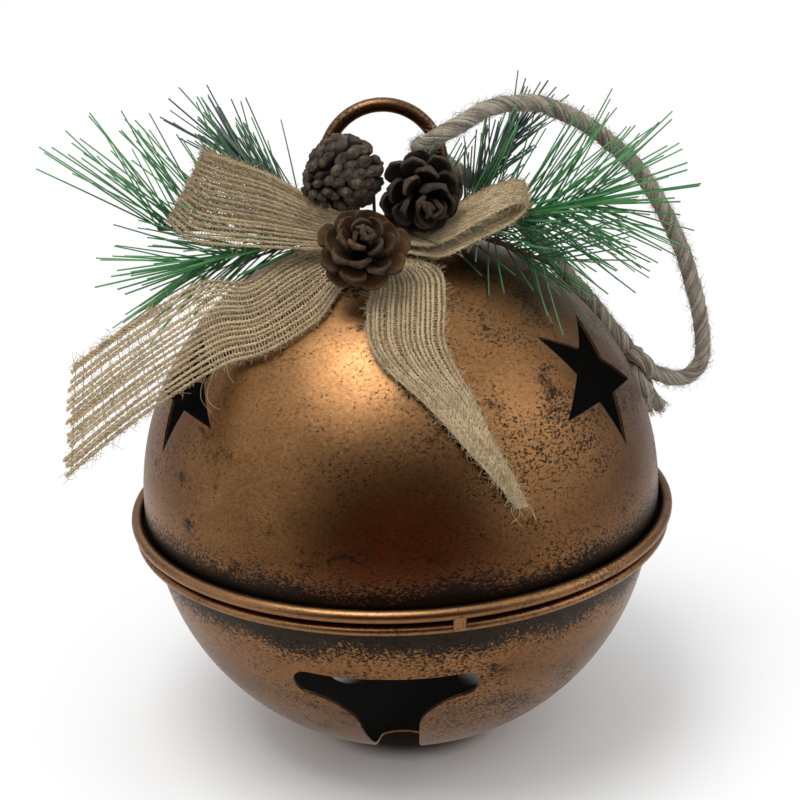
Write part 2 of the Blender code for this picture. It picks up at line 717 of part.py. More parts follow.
def cones():
    # Name, middle, axis, radius, length, scales, tilt of the scales at base and tip, pick;
    # sizes in spray units.
    on_tail = (RIBBON_THICK / 2 + PICK_WIRE / 2 + GAP) / SPRAY_UNIT
    left_pick = [spray(-6.5, -10.0, 33.0), spray(-7.0, -7.4, 20.0), on_stems(-7.0)]
    right_pick = [spray(10.0, -12.0, 22.0), spray(8.5, -7.4, 14.0), on_stems(8.5)]
    front_pick = [lain(-19.0, 68.0, 0.9 + on_tail)]
    left_axis = Vector((-0.50, -0.72, -0.28))
    right_axis = Vector((0.12, -0.90, -0.20))
    front_axis = Vector((0.10, -0.76, 0.62))
    return (
        ("pine_cone_left", spray(-18.9, -26.0, 32.2), left_axis, 16.5, 35.0, 28, (62, 26), left_pick),
        ("pine_cone_right", spray(13.4, -33.0, 21.4), right_axis, 17.3, 34.0, 24, (88, 30), right_pick),
        ("pine_cone_front", spray(-10.5, -62.0, 5.6), front_axis, 19.0, 33.0, 24, (92, 26), front_pick),
    )


def bundle_place(row, side):
    # Left stems lie in the lower row, right stems in the upper one, in front of the loop.
    y = -(LOOP_ROD / 2 + GAP + STEM_WIDTH / 2 + STEM_SPACING) + row * STEM_SPACING
    z = STEM_WIDTH / 2 + BUNDLE_LIFT + (0.0 if side < 0 else STEM_SPACING)
    return y, z


def stem_line(row, side, places):
    y, z = bundle_place(row, side)
    reach = side * (LOOP_HALF_WIDTH + STEM_STRAIGHT)
    line = [by_crown(reach * share, y, z) for share in (-0.375, 0.0, 0.375, 0.6875, 1.0)]
    places = [spray(*p) for p in places]
    line.append(line[-1].lerp(places[0], 0.15))
    return smooth_line(line + places, STEM_POINTS)


def stem_and_tip(line, bare):
    # The bare part of a stem, and the part that carries needles, a gap after it.
    at = bare * (len(line) - 1)
    k = int(at)
    cut = line[k].lerp(line[k + 1], at - k)
    ahead = (line[k + 1] - line[k]).normalized()
    first = line[:k + 1]
    if (cut - line[k]).length > GAP:
        first = first + [cut]
    return first, [cut + ahead * GAP] + line[k + 1:]


def lashings(wire, obstacles):
    # Each leg of the loop and the stems in front of it are lashed by a slanting turn of wire.
    for side, name in ((-1, "left"), (1, "right")):
        x = LOOP_SHIFT + side * LOOP_HALF_WIDTH
        back = LOOP_ROD / 2
        front = bundle_place(-1, side)[0] - STEM_WIDTH / 2
        height = bundle_place(0, side)[1]
        half_y = Vector((0.0, (back - front) / 2 + GAP * 2 + LASH_WIRE / 2, 0.0))
        slant = Vector((-side * math.cos(LASH_SLANT), 0.0, math.sin(LASH_SLANT))) * LASH_HALF
        centre = by_crown(x, (back + front) / 2, height + LASH_RAISE)
        pitch = LASH_WIRE + WIRE_PITCH_GAP
        wire_name = f"stem_wire_{name}"
        line = wound_wire(wire_name, centre, half_y, slant, LASH_TURNS, pitch, LASH_WIRE / 2, wire)
        obstacles.append((wire_name, np.array([tuple(q) for q in smooth_line(line, 160)]), LASH_WIRE / 2))


def needle_lines(line, bare, count, length, lean):
    # Base and tip of each needle, on a spiral round the outer part of the stem.
    needles = []
    total = len(line) - 1
    for i in range(count):
        at = (bare + (1.0 - bare) * (i + NEEDLE_SKIP) / (count + NEEDLE_SKIP)) * total
        k = min(int(at), total - 1)
        base = line[k].lerp(line[k + 1], at - k)
        ahead = (line[k + 1] - line[k]).normalized()
        side = ahead.cross(Vector((0.0, 0.0, 1.0))).normalized()
        up = side.cross(ahead)
        a = GOLDEN_ANGLE * i
        out = side * math.cos(a) + up * math.sin(a)
        slope = math.radians(lean * (1.0 - 0.45 * i / count))
        way = ahead * math.cos(slope) + out * math.sin(slope)
        root = base + out * (STEM_WIDTH * NEEDLE_ROOT)
        needles.append((root, root + way * length * (0.82 + 0.18 * math.cos(2.4 * i))))
    return needles


def samples(base, tip, skip):
    count = max(2, int((tip - base).length / NEEDLE_SAMPLE))
    line = [base.lerp(tip, k / count) for k in range(count + 1)]
    return np.array([tuple(p) for p in line if (p - base).length > skip])


def clear_of(points, taken):
    for centres, keep_off in taken:
        apart = np.linalg.norm(points[:, None, :] - centres[None, :, :], axis=2).min()
        if apart < keep_off:
            return False
    return True


def clear_of_dome(points):
    # Needles keep out of the dome and stay above it.
    away = points - np.array((0.0, 0.0, DOME_CENTRE))
    return np.linalg.norm(away, axis=1).min() > DOME_RADIUS + NEEDLE_WIDTH


def pine_sprigs(bark, needle_green, needle_dark, obstacles):
    lines = {}
    for name, row, side, places, bare, count, length, lean in SPRIGS:
        lines[name] = stem_line(row, side, places)
        fine = smooth_line(lines[name], 60)
        obstacles.append((name, np.array([tuple(p) for p in fine]), STEM_WIDTH / 2))
    total = 0
    for name, row, side, places, bare, count, length, lean in SPRIGS:
        taken = []
        for other, centres, radius in obstacles:
            if other != name:
                taken.append((centres, radius + NEEDLE_WIDTH / 2 + NEEDLE_CLEARANCE))
        kept = []
        for base, tip in needle_lines(lines[name], bare, count, length * SPRAY_UNIT, lean):
            points = samples(base, tip, STEM_WIDTH)
            if clear_of_dome(points) and clear_of(points, taken):
                kept.append((base, tip))
        bare_line, tip_line = stem_and_tip(lines[name], bare)
        tube(f"pine_stem_{name}", bare_line, STEM_WIDTH / 2, bark, resolution=1)
        colour = needle_dark if "rear" in name or name == "right_low" else needle_green
        sprig = as_mesh(tube(f"pine_sprig_{name}", tip_line, STEM_WIDTH / 2, colour, resolution=1))
        bm = bmesh.new()
        for base, tip in kept:
            way = tip - base
            made = bmesh.ops.create_cone(
                bm, cap_ends=True, segments=3, radius1=NEEDLE_WIDTH / 2, radius2=0.0, depth=way.length
            )
            turn = way.to_track_quat("Z", "Y").to_matrix().to_4x4()
            move = Matrix.Translation((base + tip) * 0.5) @ turn
            bmesh.ops.transform(bm, matrix=move, verts=made["verts"])
        needles = add(f"{name}_needles", mesh_from(bm, f"{name}_needles"))
        boolean(sprig, needles, "UNION", self_crossing=True)
        for base, tip in kept:
            obstacles.append((name, samples(base, tip, 0.0), NEEDLE_WIDTH / 2))
        total += len(kept)
        print(f"pine_sprig_{name}: {len(kept)} needles of {count}")
    print(f"needles in all: {total}")


def surface_points(stations):
    points = []
    for i in range(101):
        for k in range(15):
            points.append(tuple(ribbon_surface(stations, i / 100.0, k / 14.0)))
    return np.array(points)


def main():
    start_scene()
    copper = finish_material("aged_copper", (0.46, 0.24, 0.10), 0.38, 1.0)
    steel = finish_material("dark_steel", (0.06, 0.055, 0.05), 0.5, 1.0)
    jute = finish_material("jute", (0.42, 0.33, 0.22), 0.9, 0.0)
    burlap = finish_material("burlap", (0.52, 0.43, 0.30), 0.9, 0.0)
    wire = finish_material("florist_wire", (0.10, 0.09, 0.08), 0.5, 1.0)
    green = finish_material("pine_green", (0.03, 0.22, 0.06), 0.5, 0.0)
    dark = finish_material("pine_dark", (0.03, 0.09, 0.06), 0.55, 0.0)
    bark = finish_material("stem_brown", (0.10, 0.06, 0.035), 0.8, 0.0)
    brown = finish_material("pine_cone", (0.11, 0.07, 0.045), 0.8, 0.0)

    upper_shell(copper)
    lower_shell(copper)
    rim_tacks(copper)
    hanger_loop(copper)
    clapper(steel)
    rope_points = rope(jute)

    ribbon("bow_loop_left", left_loop_stations(), burlap)
    ribbon("bow_loop_right", right_loop_stations(), burlap)
    ribbon("bow_tails", tail_stations(), burlap)
    pitch = BOW_WIRE + WIRE_PITCH_GAP
    wound_wire(
        "bow_wire", spray(-7.0, -31.8, 5.05), Vector((0.0, 8.3, 0.0)) * SPRAY_UNIT,
        Vector((0.0, 0.0, 6.05)) * SPRAY_UNIT, BOW_WIRE_TURNS, pitch, BOW_WIRE / 2, wire,
    )
    obstacles = []
    lashings(wire, obstacles)

    obstacles.append(("rope", np.array([tuple(p) for p in rope_points]), ROPE_WIDTH * 0.75))
    loop_points = smooth_line(loop_line(), 90)
    obstacles.append(("loop", np.array([tuple(p) for p in loop_points]), LOOP_ROD * 0.6))
    for name, centre, axis, radius, length, scales, tilts, stalk in cones():
        radius *= SPRAY_UNIT
        pine_cone(name, centre, axis.normalized(), radius, length * SPRAY_UNIT, scales, tilts, stalk, brown)
        obstacles.append((name, np.array([tuple(centre)]), radius * 1.12))
    for stations in (left_loop_stations(), right_loop_stations(), tail_stations()):
        obstacles.append(("ribbon", surface_points(stations), RIBBON_THICK * 2))
    pine_sprigs(bark, green, dark, obstacles)


main()
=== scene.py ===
import random
from math import acos, asin, copysign, cos, degrees, pi, radians, sin, sqrt
from types import SimpleNamespace

import bmesh
import bpy
from mathutils import Matrix, Vector


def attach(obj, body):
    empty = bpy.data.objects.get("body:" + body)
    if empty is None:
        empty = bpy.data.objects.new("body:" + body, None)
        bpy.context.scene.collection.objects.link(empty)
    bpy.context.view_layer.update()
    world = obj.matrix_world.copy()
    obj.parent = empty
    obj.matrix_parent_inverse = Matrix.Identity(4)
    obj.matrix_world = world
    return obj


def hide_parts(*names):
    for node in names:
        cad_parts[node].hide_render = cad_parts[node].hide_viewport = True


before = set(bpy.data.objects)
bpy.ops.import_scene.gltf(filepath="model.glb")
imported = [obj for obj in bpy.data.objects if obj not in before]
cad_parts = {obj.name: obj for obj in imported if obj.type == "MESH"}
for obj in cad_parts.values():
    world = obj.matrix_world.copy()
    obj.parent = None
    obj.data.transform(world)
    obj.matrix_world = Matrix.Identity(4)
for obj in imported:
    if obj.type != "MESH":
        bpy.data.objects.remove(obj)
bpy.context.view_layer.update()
for leftover in ("Camera", "Cube", "Light"):
    if leftover in bpy.data.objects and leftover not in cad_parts:
        bpy.data.objects.remove(bpy.data.objects[leftover], do_unlink=True)
print("frame loaded:", len(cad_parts), "nodes")

# sizes of the bell in metres, nearly all as the solids have them
bell = {
    "wall": 0.0012, "footRadius": 0.024, "bowlRadius": 0.1175, "domeRadius": 0.120, "skirt": 0.0094,
    "rimOverhang": 0.0065, "beadRadius": 0.0027, "lipRadius": 0.0019, "lipInset": 0.0015,
    "grooveHalf": 0.001, "flangeFlat": 0.0015, "gap": 0.0003, "turnSteps": 144, "arcSteps": 44,
    "cornerRadius": 0.0009, "cornerLift": 0.0016, "skirtEnd": 0.0022, "sharpAngle": 32.0,
}
shell = SimpleNamespace(**bell)
wall, gap, domeRadius, bowlRadius = bell["wall"], bell["gap"], bell["domeRadius"], bell["bowlRadius"]
rimRadius = domeRadius + shell.rimOverhang
rimPlane = sqrt(bowlRadius ** 2 - shell.footRadius ** 2)
jointPlane = rimPlane - shell.beadRadius - shell.grooveHalf
lipMiddle = jointPlane - shell.grooveHalf - shell.lipRadius
domeCentre = jointPlane + shell.skirt
apex = domeCentre + domeRadius
goldenAngle = pi * (3.0 - sqrt(5.0))
mm = 0.001


def vec(x, y, z):
    return Vector((x, y, z))


def heading(azimuth, elevation):  # azimuth from the front towards +X, both in degrees
    a, e = radians(azimuth), radians(elevation)
    return vec(sin(a) * cos(e), -cos(a) * cos(e), sin(e))


def onDome(azimuth, elevation, lift):  # lift in millimetres
    return vec(0, 0, domeCentre) + heading(azimuth, elevation) * (domeRadius + lift * mm)


def byCrown(x, y, z):  # millimetres from the top of the dome
    return vec(x * mm, y * mm, apex + z * mm)


def domeHeight(x, y=0.0):
    return domeCentre + sqrt(domeRadius ** 2 - x * x - y * y)


def tangentPlace(azimuth, elevation, centreZ, radius):
    out = heading(azimuth, elevation)
    across = heading(azimuth + 90.0, 0.0)
    turn = Matrix((across, out.cross(across), out)).transposed().to_4x4()
    return Matrix.Translation(vec(0, 0, centreZ) + out * radius) @ turn


def allRound(azimuth, count):
    return [azimuth + 360.0 / count * i for i in range(count)]


def arcPoints(r, z, radius, start, end, steps):  # angles in degrees
    angles = [radians(start + (end - start) * i / steps) for i in range(steps + 1)]
    return [(r + radius * cos(a), z + radius * sin(a)) for a in angles]


def blendFour(p, t):  # a smooth curve from the second of four points to the third
    return (
        p[0] * (-t + 2 * t * t - t ** 3) + p[1] * (2 - 5 * t * t + 3 * t ** 3)
        + p[2] * (t + 4 * t * t - 3 * t ** 3) + p[3] * (-t * t + t ** 3)
    ) * 0.5


def lineLength(points):
    return sum((b - a).length for a, b in zip(points, points[1:]))


def evenPlaces(points, count):  # even steps along a line: the point before each, and the share on to the next
    far = [0.0]
    for a, b in zip(points, points[1:]):
        far.append(far[-1] + (b - a).length)
    places = []
    j = 0
    for i in range(count):
        want = far[-1] * i / (count - 1)
        while j < len(points) - 2 and far[j + 1] < want:
            j += 1
        places.append((j, (want - far[j]) / max(far[j + 1] - far[j], 1e-9)))
    return places


def smoothLine(points, count):  # evenly spaced points on a smooth curve through the given ones
    p = [points[0] * 2 - points[1]] + points + [points[-1] * 2 - points[-2]]
    fine = [blendFour(p[i - 1:i + 3], k / 24.0) for i in range(1, len(p) - 2) for k in range(24)] + [p[-2]]
    return [fine[j].lerp(fine[j + 1], min(max(s, 0.0), 1.0)) for j, s in evenPlaces(fine, count)]


def carriedFrames(points):  # tangent, side and up along a line, with the least twist
    last = len(points) - 1
    side = (points[1] - points[0]).normalized().orthogonal().normalized()
    frames = []
    for i in range(last + 1):
        ahead = (points[min(i + 1, last)] - points[max(i - 1, 0)]).normalized()
        side = (side - ahead * side.dot(ahead)).normalized()
        frames.append((ahead, side, ahead.cross(side)))
    return frames


# small helpers for pieces and meshes
def addObject(name, data, material=None):
    obj = bpy.data.objects.new(name, data)
    bpy.context.scene.collection.objects.link(obj)
    if material:
        data.materials.clear()
        data.materials.append(material)
    return obj


def drop(*objects):
    for obj in objects:
        bpy.data.objects.remove(obj, do_unlink=True)


def finishPiece(obj, slotName, *nodes, body="bell"):
    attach(obj, body)
    if nodes:
        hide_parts(*nodes)
    return obj


def toMesh(name, bm):
    mesh = bpy.data.meshes.new(name)
    bm.to_mesh(mesh)
    bm.free()
    return mesh


def addMarks(mesh, **marks):  # a value at each point for every name
    for label, values in marks.items():
        mesh.attributes.new(label, "FLOAT", "POINT").data.foreach_set("value", values)
    return mesh


def rowsMesh(name, rows, caps=True, ring=False, merge=False):  # a skin over rows of points, each row closed
    bm = bmesh.new()
    made = [[bm.verts.new(p) for p in row] for row in rows]
    if caps:
        bm.faces.new(made[0][::-1])
        bm.faces.new(made[-1])
    around = len(made[0])
    for low, high in zip(made, made[1:] + (made[:1] if ring else [])):
        for k in range(around):
            j = (k + 1) % around
            bm.faces.new((low[k], low[j], high[j], high[k]))
    if merge:
        bmesh.ops.remove_doubles(bm, verts=bm.verts, dist=1e-6)
    bmesh.ops.recalc_face_normals(bm, faces=bm.faces)
    return toMesh(name, bm)


def lathe(name, profile, steps):  # the profile starts and ends on the axis
    angles = [2 * pi * k / steps for k in range(steps)]
    rows = [[(r * cos(a), r * sin(a), z) for a in angles] for r, z in profile]
    return rowsMesh(name, rows, caps=False, merge=True)


def joined(name, meshes):
    bm = bmesh.new()
    for mesh in meshes:
        bm.from_mesh(mesh)
    return toMesh(name, bm)


def baked(obj):  # the plain mesh that an object's modifiers give
    bpy.context.view_layer.update()
    seen = bpy.context.evaluated_depsgraph_get()
    shown = obj.evaluated_get(seen)
    return bpy.data.meshes.new_from_object(shown, preserve_all_data_layers=True, depsgraph=seen)


# small helpers for node trees, which add to the tree in hand
hand = {}


def plug(sockets, values):  # links or sets inputs
    for key, value in values.items():
        if isinstance(value, bpy.types.NodeSocket):
            hand["tree"].links.new(value, sockets[key])
        elif sockets[key].type == "RGBA":
            sockets[key].default_value = (*value, 1.0)
        else:
            sockets[key].default_value = value


def put(kind, inputs=None, **settings):  # adds a node
    made = hand["tree"].nodes.new(kind)
    for key, value in settings.items():
        setattr(made, key, value)
    plug(made.inputs, inputs or {})
    return made


def give(kind, inputs=None, out=0, **settings):  # adds a node for one of its outputs
    return put(kind, inputs, **settings).outputs[out]


def sums(operation, a, b=0.0, c=0.0):
    return give("ShaderNodeMath", {0: a, 1: b, 2: c}, operation=operation)


def times(a, b):
    return sums("MULTIPLY", a, b)


def mad(a, b, c):  # a times b, plus c
    return sums("MULTIPLY_ADD", a, b, c)


def less(a, b):
    return sums("SUBTRACT", a, b)


def most(value, *others):
    for other in others:
        value = sums("MAXIMUM", value, other)
    return value


def remap(value, low, high, toLow=0.0, toHigh=1.0):
    inputs = {"Value": value, "From Min": low, "From Max": high, "To Min": toLow, "To Max": toHigh}
    return give("ShaderNodeMapRange", inputs, "Result", interpolation_type="SMOOTHSTEP")


def mixColour(factor, a, b, how="MIX"):
    return give("ShaderNodeMix", {0: factor, 6: a, 7: b}, 2, data_type="RGBA", blend_type=how)


def mixValue(factor, a, b):
    return give("ShaderNodeMix", {0: factor, 2: a, 3: b}, data_type="FLOAT")


def noise(place, scale, detail, roughness=0.5, distortion=0.0):
    return give("ShaderNodeTexNoise", {
        "Vector": place, "Scale": scale, "Detail": detail, "Roughness": roughness, "Distortion": distortion,
    })


def distance(place, centre=(0, 0, 0)):
    return give("ShaderNodeVectorMath", {0: place, 1: centre}, "Value", operation="DISTANCE")


def combine(x=0.0, y=0.0, z=0.0):
    return give("ShaderNodeCombineXYZ", {0: x, 1: y, 2: z})


def split(vector):
    return put("ShaderNodeSeparateXYZ", {0: vector}).outputs


def mark(name):  # a value that the mesh carries
    return give("ShaderNodeAttribute", None, "Fac", attribute_name=name)


def bump(strength, depth, height):
    return give("ShaderNodeBump", {"Strength": strength, "Distance": depth, "Height": height})


def useGroup(group, inputs):
    return put("ShaderNodeGroup", inputs, node_tree=group).outputs


def newGroup(name, kind, inputs, outputs):  # sockets by name: a starting value, or the kind of socket
    tree = bpy.data.node_groups.new(name, kind)
    hand["tree"] = tree
    ids = {}
    for way, sockets in (("OUTPUT", outputs), ("INPUT", inputs)):
        for label, value in sockets.items():
            sort = value if isinstance(value, str) else type(value).__name__.title()
            socket = tree.interface.new_socket(label, in_out=way, socket_type="NodeSocket" + sort)
            if sort != value:
                socket.default_value = value
            ids[label] = socket.identifier
    return tree, ids, tree.nodes.new("NodeGroupInput").outputs, tree.nodes.new("NodeGroupOutput").inputs


def growGroup(name, inputs):
    made = newGroup(name, "GeometryNodeTree", {"Geometry": "Geometry", **inputs}, {"Geometry": "Geometry"})
    made[0].is_modifier = True
    return made


def newMaterial(name):
    material = bpy.data.materials.new(name)
    material.use_nodes = True
    hand["tree"] = material.node_tree
    return material, material.node_tree.nodes["Principled BSDF"], give("ShaderNodeTexCoord", None, "Object")


def store(geometry, name, value, kind="FLOAT", domain="POINT"):
    inputs = {"Geometry": geometry, "Name": name, "Value": value}
    return give("GeometryNodeStoreNamedAttribute", inputs, data_type=kind, domain=domain)


def stored(name, kind="FLOAT"):
    return give("GeometryNodeInputNamedAttribute", {"Name": name}, data_type=kind)


def draw(source, low, high, shift):  # a random value for each point
    seed = sums("ADD", source["Seed"], float(shift))
    inputs = {2: low, 3: high, "ID": give("GeometryNodeInputIndex"), "Seed": seed}
    return give("FunctionNodeRandomValue", inputs, 1, data_type="FLOAT")


def shapeOf(thing):
    return give("GeometryNodeObjectInfo", {"Object": thing}, "Geometry")


def endTree(geometry, material, end):
    real = give("GeometryNodeRealizeInstances", {"Geometry": geometry})
    plug(end, {0: give("GeometryNodeSetMaterial", {"Geometry": real, "Material": material})})


def grow(name, mesh, grower, values):  # runs a tree on a mesh and keeps the result as a plain mesh
    tree, ids = grower
    holder = addObject(name + "Lines", mesh)
    step = holder.modifiers.new("grow", "NODES")
    step.node_group = tree
    for label, value in values.items():
        step[ids[label]] = value
    made = baked(holder)
    drop(holder)
    made.name = name
    return addObject(name, made)


# yarns, strands, wires and stems: a round tube along every line of a mesh
def tubeTree():
    tree, ids, source, end = growGroup("tubeAlongLines", {"Sides": 6, "Material": "Material"})
    ring = give("GeometryNodeCurvePrimitiveCircle", {"Resolution": source["Sides"], "Radius": 1.0})
    tube = give("GeometryNodeCurveToMesh", {
        "Curve": give("GeometryNodeMeshToCurve", {"Mesh": source["Geometry"]}), "Profile Curve": ring,
        "Scale": stored("yarnRadius"), "Fill Caps": True,
    })
    endTree(give("GeometryNodeSetShadeSmooth", {"Geometry": tube}), source["Material"], end)
    return tree, ids


tubeGrower = tubeTree()


def growTubes(name, lines, material, sides=6):  # lines: (points, radius or radii, tone)
    verts, edges, radii, tones = [], [], [], []
    for points, radius, tone in lines:
        first = len(verts)
        verts += [tuple(p) for p in points]
        edges += [(i, i + 1) for i in range(first, len(verts) - 1)]
        radii += radius if isinstance(radius, list) else [radius] * len(points)
        tones += [tone] * len(points)
    mesh = bpy.data.meshes.new(name)
    mesh.from_pydata(verts, edges, [])
    addMarks(mesh, yarnRadius=radii, yarnTone=tones)
    return grow(name, mesh, tubeGrower, {"Sides": sides, "Material": material})


def rodPiece(name, line, width, material, sides, slotName, *nodes, body="bell"):
    rod = growTubes(name, [(line, width / 2, 0.5)], material, sides)
    return finishPiece(rod, slotName, *nodes, body=body)


# shared surface effects, with the scale, detail, roughness and distortion of each noise
patinaNoise = {
    "dust": (2600.0, 1.0, 0.5), "grain": (620.0, 6.0, 0.80), "coarse": (46.0, 3.0, 0.6),
    "cloud": (13.0, 3.0, 0.6), "blotch": (95.0, 6.0, 0.75, 0.9),
}
squeeze = (1.0, 1.0, 1.5)  # wear runs round the bell, so its pattern is squeezed along the axis


def patinaGroup():
    group, _, source, end = newGroup(
        "patinaWear", "ShaderNodeTree", {"Vector": "Vector", "Speck Amount": 0.5, "Patch Amount": 0.4},
        {label: "Float" for label in ("Specks", "Patches", "Mottle", "Rub", "Height")},
    )
    at = give("ShaderNodeVectorMath", {0: source["Vector"], 1: squeeze}, operation="MULTIPLY")
    dust, grain, coarse, cloud, blotch = [noise(at, *facts) for facts in patinaNoise.values()]
    # how hard a place was rubbed, spread evenly from 0 to 1, so that a share of it can be left dark
    rub = remap(grain, 0.32, 0.68)
    gather = remap(mad(cloud, 0.6, times(coarse, 0.4)), 0.42, 0.60)
    left = times(mad(gather, 0.20, 0.05), source["Speck Amount"])
    # smudges are broken up by the blotches and lie in a few places only
    edge = mad(source["Patch Amount"], 0.34, 0.28)
    mottle = remap(mad(grain, 0.5, times(cloud, 0.5)), 0.34, 0.66)
    plug(end, {
        "Specks": remap(less(left, rub), -0.05, 0.06), "Rub": rub,
        "Patches": times(remap(coarse, 0.56, 0.70), remap(less(edge, blotch), -0.05, 0.05)),
        "Mottle": mad(dust, 0.5, mad(mottle, 0.8, -0.15)), "Height": mad(dust, 0.6, times(grain, 0.4)),
    })
    return group


def fibreGroup():
    group, _, source, end = newGroup(
        "fibreTone", "ShaderNodeTree", {"Vector": "Vector", "Tone": 0.5, "Dark": "Color", "Light": "Color"},
        {"Color": "Color", "Height": "Float"},
    )
    hairs = noise(source["Vector"], 1500.0, 3.0, 0.7)
    slubs = noise(source["Vector"], 190.0, 4.0, 0.6)
    tone = mad(source["Tone"], 0.42, mad(hairs, 0.45, times(slubs, 0.45)))
    plug(end, {"Color": mixColour(remap(tone, 0.38, 0.95), source["Dark"], source["Light"]), "Height": hairs})
    return group


patinaWear = patinaGroup()
fibreTone = fibreGroup()

# copper: colours, how much black is left and where, and how it shines
copperLook = {
    "dull": (0.098, 0.045, 0.016), "bright": (0.345, 0.178, 0.074), "patina": (0.033, 0.028, 0.022),
    "speck": (0.024, 0.016, 0.011), "bare": (0.56, 0.32, 0.16), "inside": (0.050, 0.047, 0.044),
    "specks": 1.0, "bowlSpecks": 0.6, "sideSpecks": 1.1, "sideReach": 0.085, "patches": 0.6,
    "darkOver": (0.1112, 0.1395), "darkUnder": (0.0770, 0.1050), "drift": 0.022,
    "driftNoise": (26.0, 4.0, 0.65), "cutEdge": 0.5, "roughness": 0.33, "bump": 0.22, "bumpDepth": 0.0006,
}
rodLook = dict(
    copperLook, dull=(0.055, 0.028, 0.014), bright=(0.230, 0.120, 0.060), specks=1.4, patches=0.5,
    cutEdge=0.0, roughness=0.36, darkOver=(-1.0, -0.9),
)


def copperMaterial(name, facts):
    look = SimpleNamespace(**facts)
    material, shader, place = newMaterial(name)
    x, y, z = split(place)
    isBowl = sums("LESS_THAN", z, jointPlane)
    side = times(remap(x, 0.0, look.sideReach), mad(isBowl, -0.7, 1.0))
    amount = mad(side, look.sideSpecks, mad(isBowl, look.bowlSpecks, look.specks))
    wear = useGroup(patinaWear, {"Vector": place, "Speck Amount": amount, "Patch Amount": look.patches})
    # rubbed copper, duller and brighter in clouds, and brightest on the bead and the lip
    onRim = remap(distance(combine(x, y)), domeRadius + 0.0012, domeRadius + 0.0026)
    colour = mixColour(times(wear["Mottle"], mad(side, -0.22, 1.0)), look.dull, look.bright)
    colour = mixColour(times(onRim, 0.18), colour, look.bare)
    # black left in the corner over the bead and under the lip, thinning out as specks
    drift = noise(place, *look.driftNoise)
    above, below = [
        remap(mad(drift, -way * look.drift, z), *[edge - way * look.drift / 2 for edge in edges], *ends)
        for way, edges, ends in ((1, look.darkOver, (1.12, -0.05)), (-1, look.darkUnder, (-0.05, 1.12)))
    ]
    dark = remap(less(mixValue(isBowl, above, below), wear["Rub"]), -0.07, 0.07)
    dark = times(dark, less(1.0, onRim))
    spots = times(most(wear["Patches"], wear["Specks"]), mad(onRim, -0.35, 1.0))
    # depth in the wall: the outside, the bare cut edge, and the black inside
    domeDepth = less(domeRadius, distance(place, (0, 0, domeCentre)))
    bowlDepth = less(bowlRadius, distance(place, (0, 0, rimPlane)))
    depth = mixValue(isBowl, domeDepth, bowlDepth)
    inside = remap(depth, wall * 0.80, wall * 0.92)
    isEdge = times(remap(depth, wall * 0.12, wall * 0.3), look.cutEdge)
    isEdge = times(isEdge, remap(z, 0.006, 0.025, 0.1, 1.0))  # painted shade: bare cut edges dimmed near the floor
    for mask, over in ((dark, look.patina), (spots, look.speck), (isEdge, look.bare), (inside, look.inside)):
        colour = mixColour(mask, colour, over)
    rough = mad(most(dark, spots, inside), 0.14, mad(wear["Mottle"], -0.07, look.roughness))
    plug(shader.inputs, {
        "Base Color": colour, "Metallic": remap(inside, 0.0, 1.0, 1.0, 0.0), "Specular IOR Level": 0.15,
        "Roughness": rough, "Normal": bump(look.bump, look.bumpDepth, wear["Height"]),
    })
    return material


rubbedCopper = copperMaterial("rubbedCopper", copperLook)
loopCopper = copperMaterial("loopCopper", rodLook)


def fibreMaterial(name, dark, light, sheen):
    material, shader, place = newMaterial(name)
    fibre = useGroup(fibreTone, {"Vector": place, "Tone": mark("yarnTone"), "Dark": dark, "Light": light})
    plug(shader.inputs, {
        "Base Color": fibre["Color"], "Roughness": 0.88, "Sheen Weight": sheen, "Sheen Roughness": 0.6,
        "Specular IOR Level": 0.2, "Normal": bump(0.6, 0.0004, fibre["Height"]),
    })
    return material


juteFibre = fibreMaterial("juteFibre", (0.130, 0.104, 0.076), (0.380, 0.330, 0.258), 0.2)
burlapYarn = fibreMaterial("burlapYarn", (0.165, 0.117, 0.066), (0.490, 0.376, 0.220), 0.1)
stemPaper = fibreMaterial("stemPaper", (0.030, 0.018, 0.010), (0.130, 0.082, 0.048), 0.0)


def wornMetal(name, colour, worn, roughness):
    material, shader, place = newMaterial(name)
    wear = useGroup(patinaWear, {"Vector": place, "Speck Amount": 0.6, "Patch Amount": 0.3})
    plug(shader.inputs, {
        "Base Color": mixColour(wear["Mottle"], colour, worn), "Metallic": 0.85,
        "Roughness": mad(wear["Specks"], 0.2, roughness), "Normal": bump(0.3, 0.0005, wear["Height"]),
    })
    return material


darkIron = wornMetal("darkIron", (0.045, 0.043, 0.042), (0.150, 0.145, 0.140), 0.48)
floristWire = wornMetal("floristWire", (0.060, 0.052, 0.046), (0.150, 0.130, 0.110), 0.42)

# bell shells
cutouts = {
    "starCount": 3, "starAzimuth": 57.0, "starElevation": 34.0, "starTip": 0.0325, "starInner": 0.0130,
    "fanCount": 3, "fanAzimuth": -5.0, "fanElevation": -29.5, "fanTop": 0.0250, "fanTopHalf": 0.0310,
    "fanEndHalf": 0.0385, "fanEndDrop": 0.0090, "waistHalf": 0.0125, "waistDrop": 0.0370, "crown": 0.0005,
    "tail": 0.0360, "neckHalf": 0.0105, "neckStart": -47.0, "hubRadius": 0.0295, "starDepth": 0.030,
    "fanDepth": 0.048,
}
cut = SimpleNamespace(**cutouts)


def punch(outline, depth, place):  # a prism that cuts an outline through a wall
    rows = [[place @ vec(u, v, w) for u, v in outline] for w in (-depth / 2, depth / 2)]
    return addObject("punch", rowsMesh("punch", rows))


def cutShell(name, profile, tools, node):
    raw = addObject(name + "Raw", lathe(name, profile, shell.turnSteps))
    for tool in tools:
        step = raw.modifiers.new("cut", "BOOLEAN")
        step.operation = "DIFFERENCE"
        step.object = tool
        step.solver = "EXACT"
    made = baked(raw)
    drop(raw, *tools)
    made.shade_smooth()
    made.set_sharp_from_angle(angle=radians(shell.sharpAngle))
    return finishPiece(addObject(name, made, rubbedCopper), "aged_copper", node)


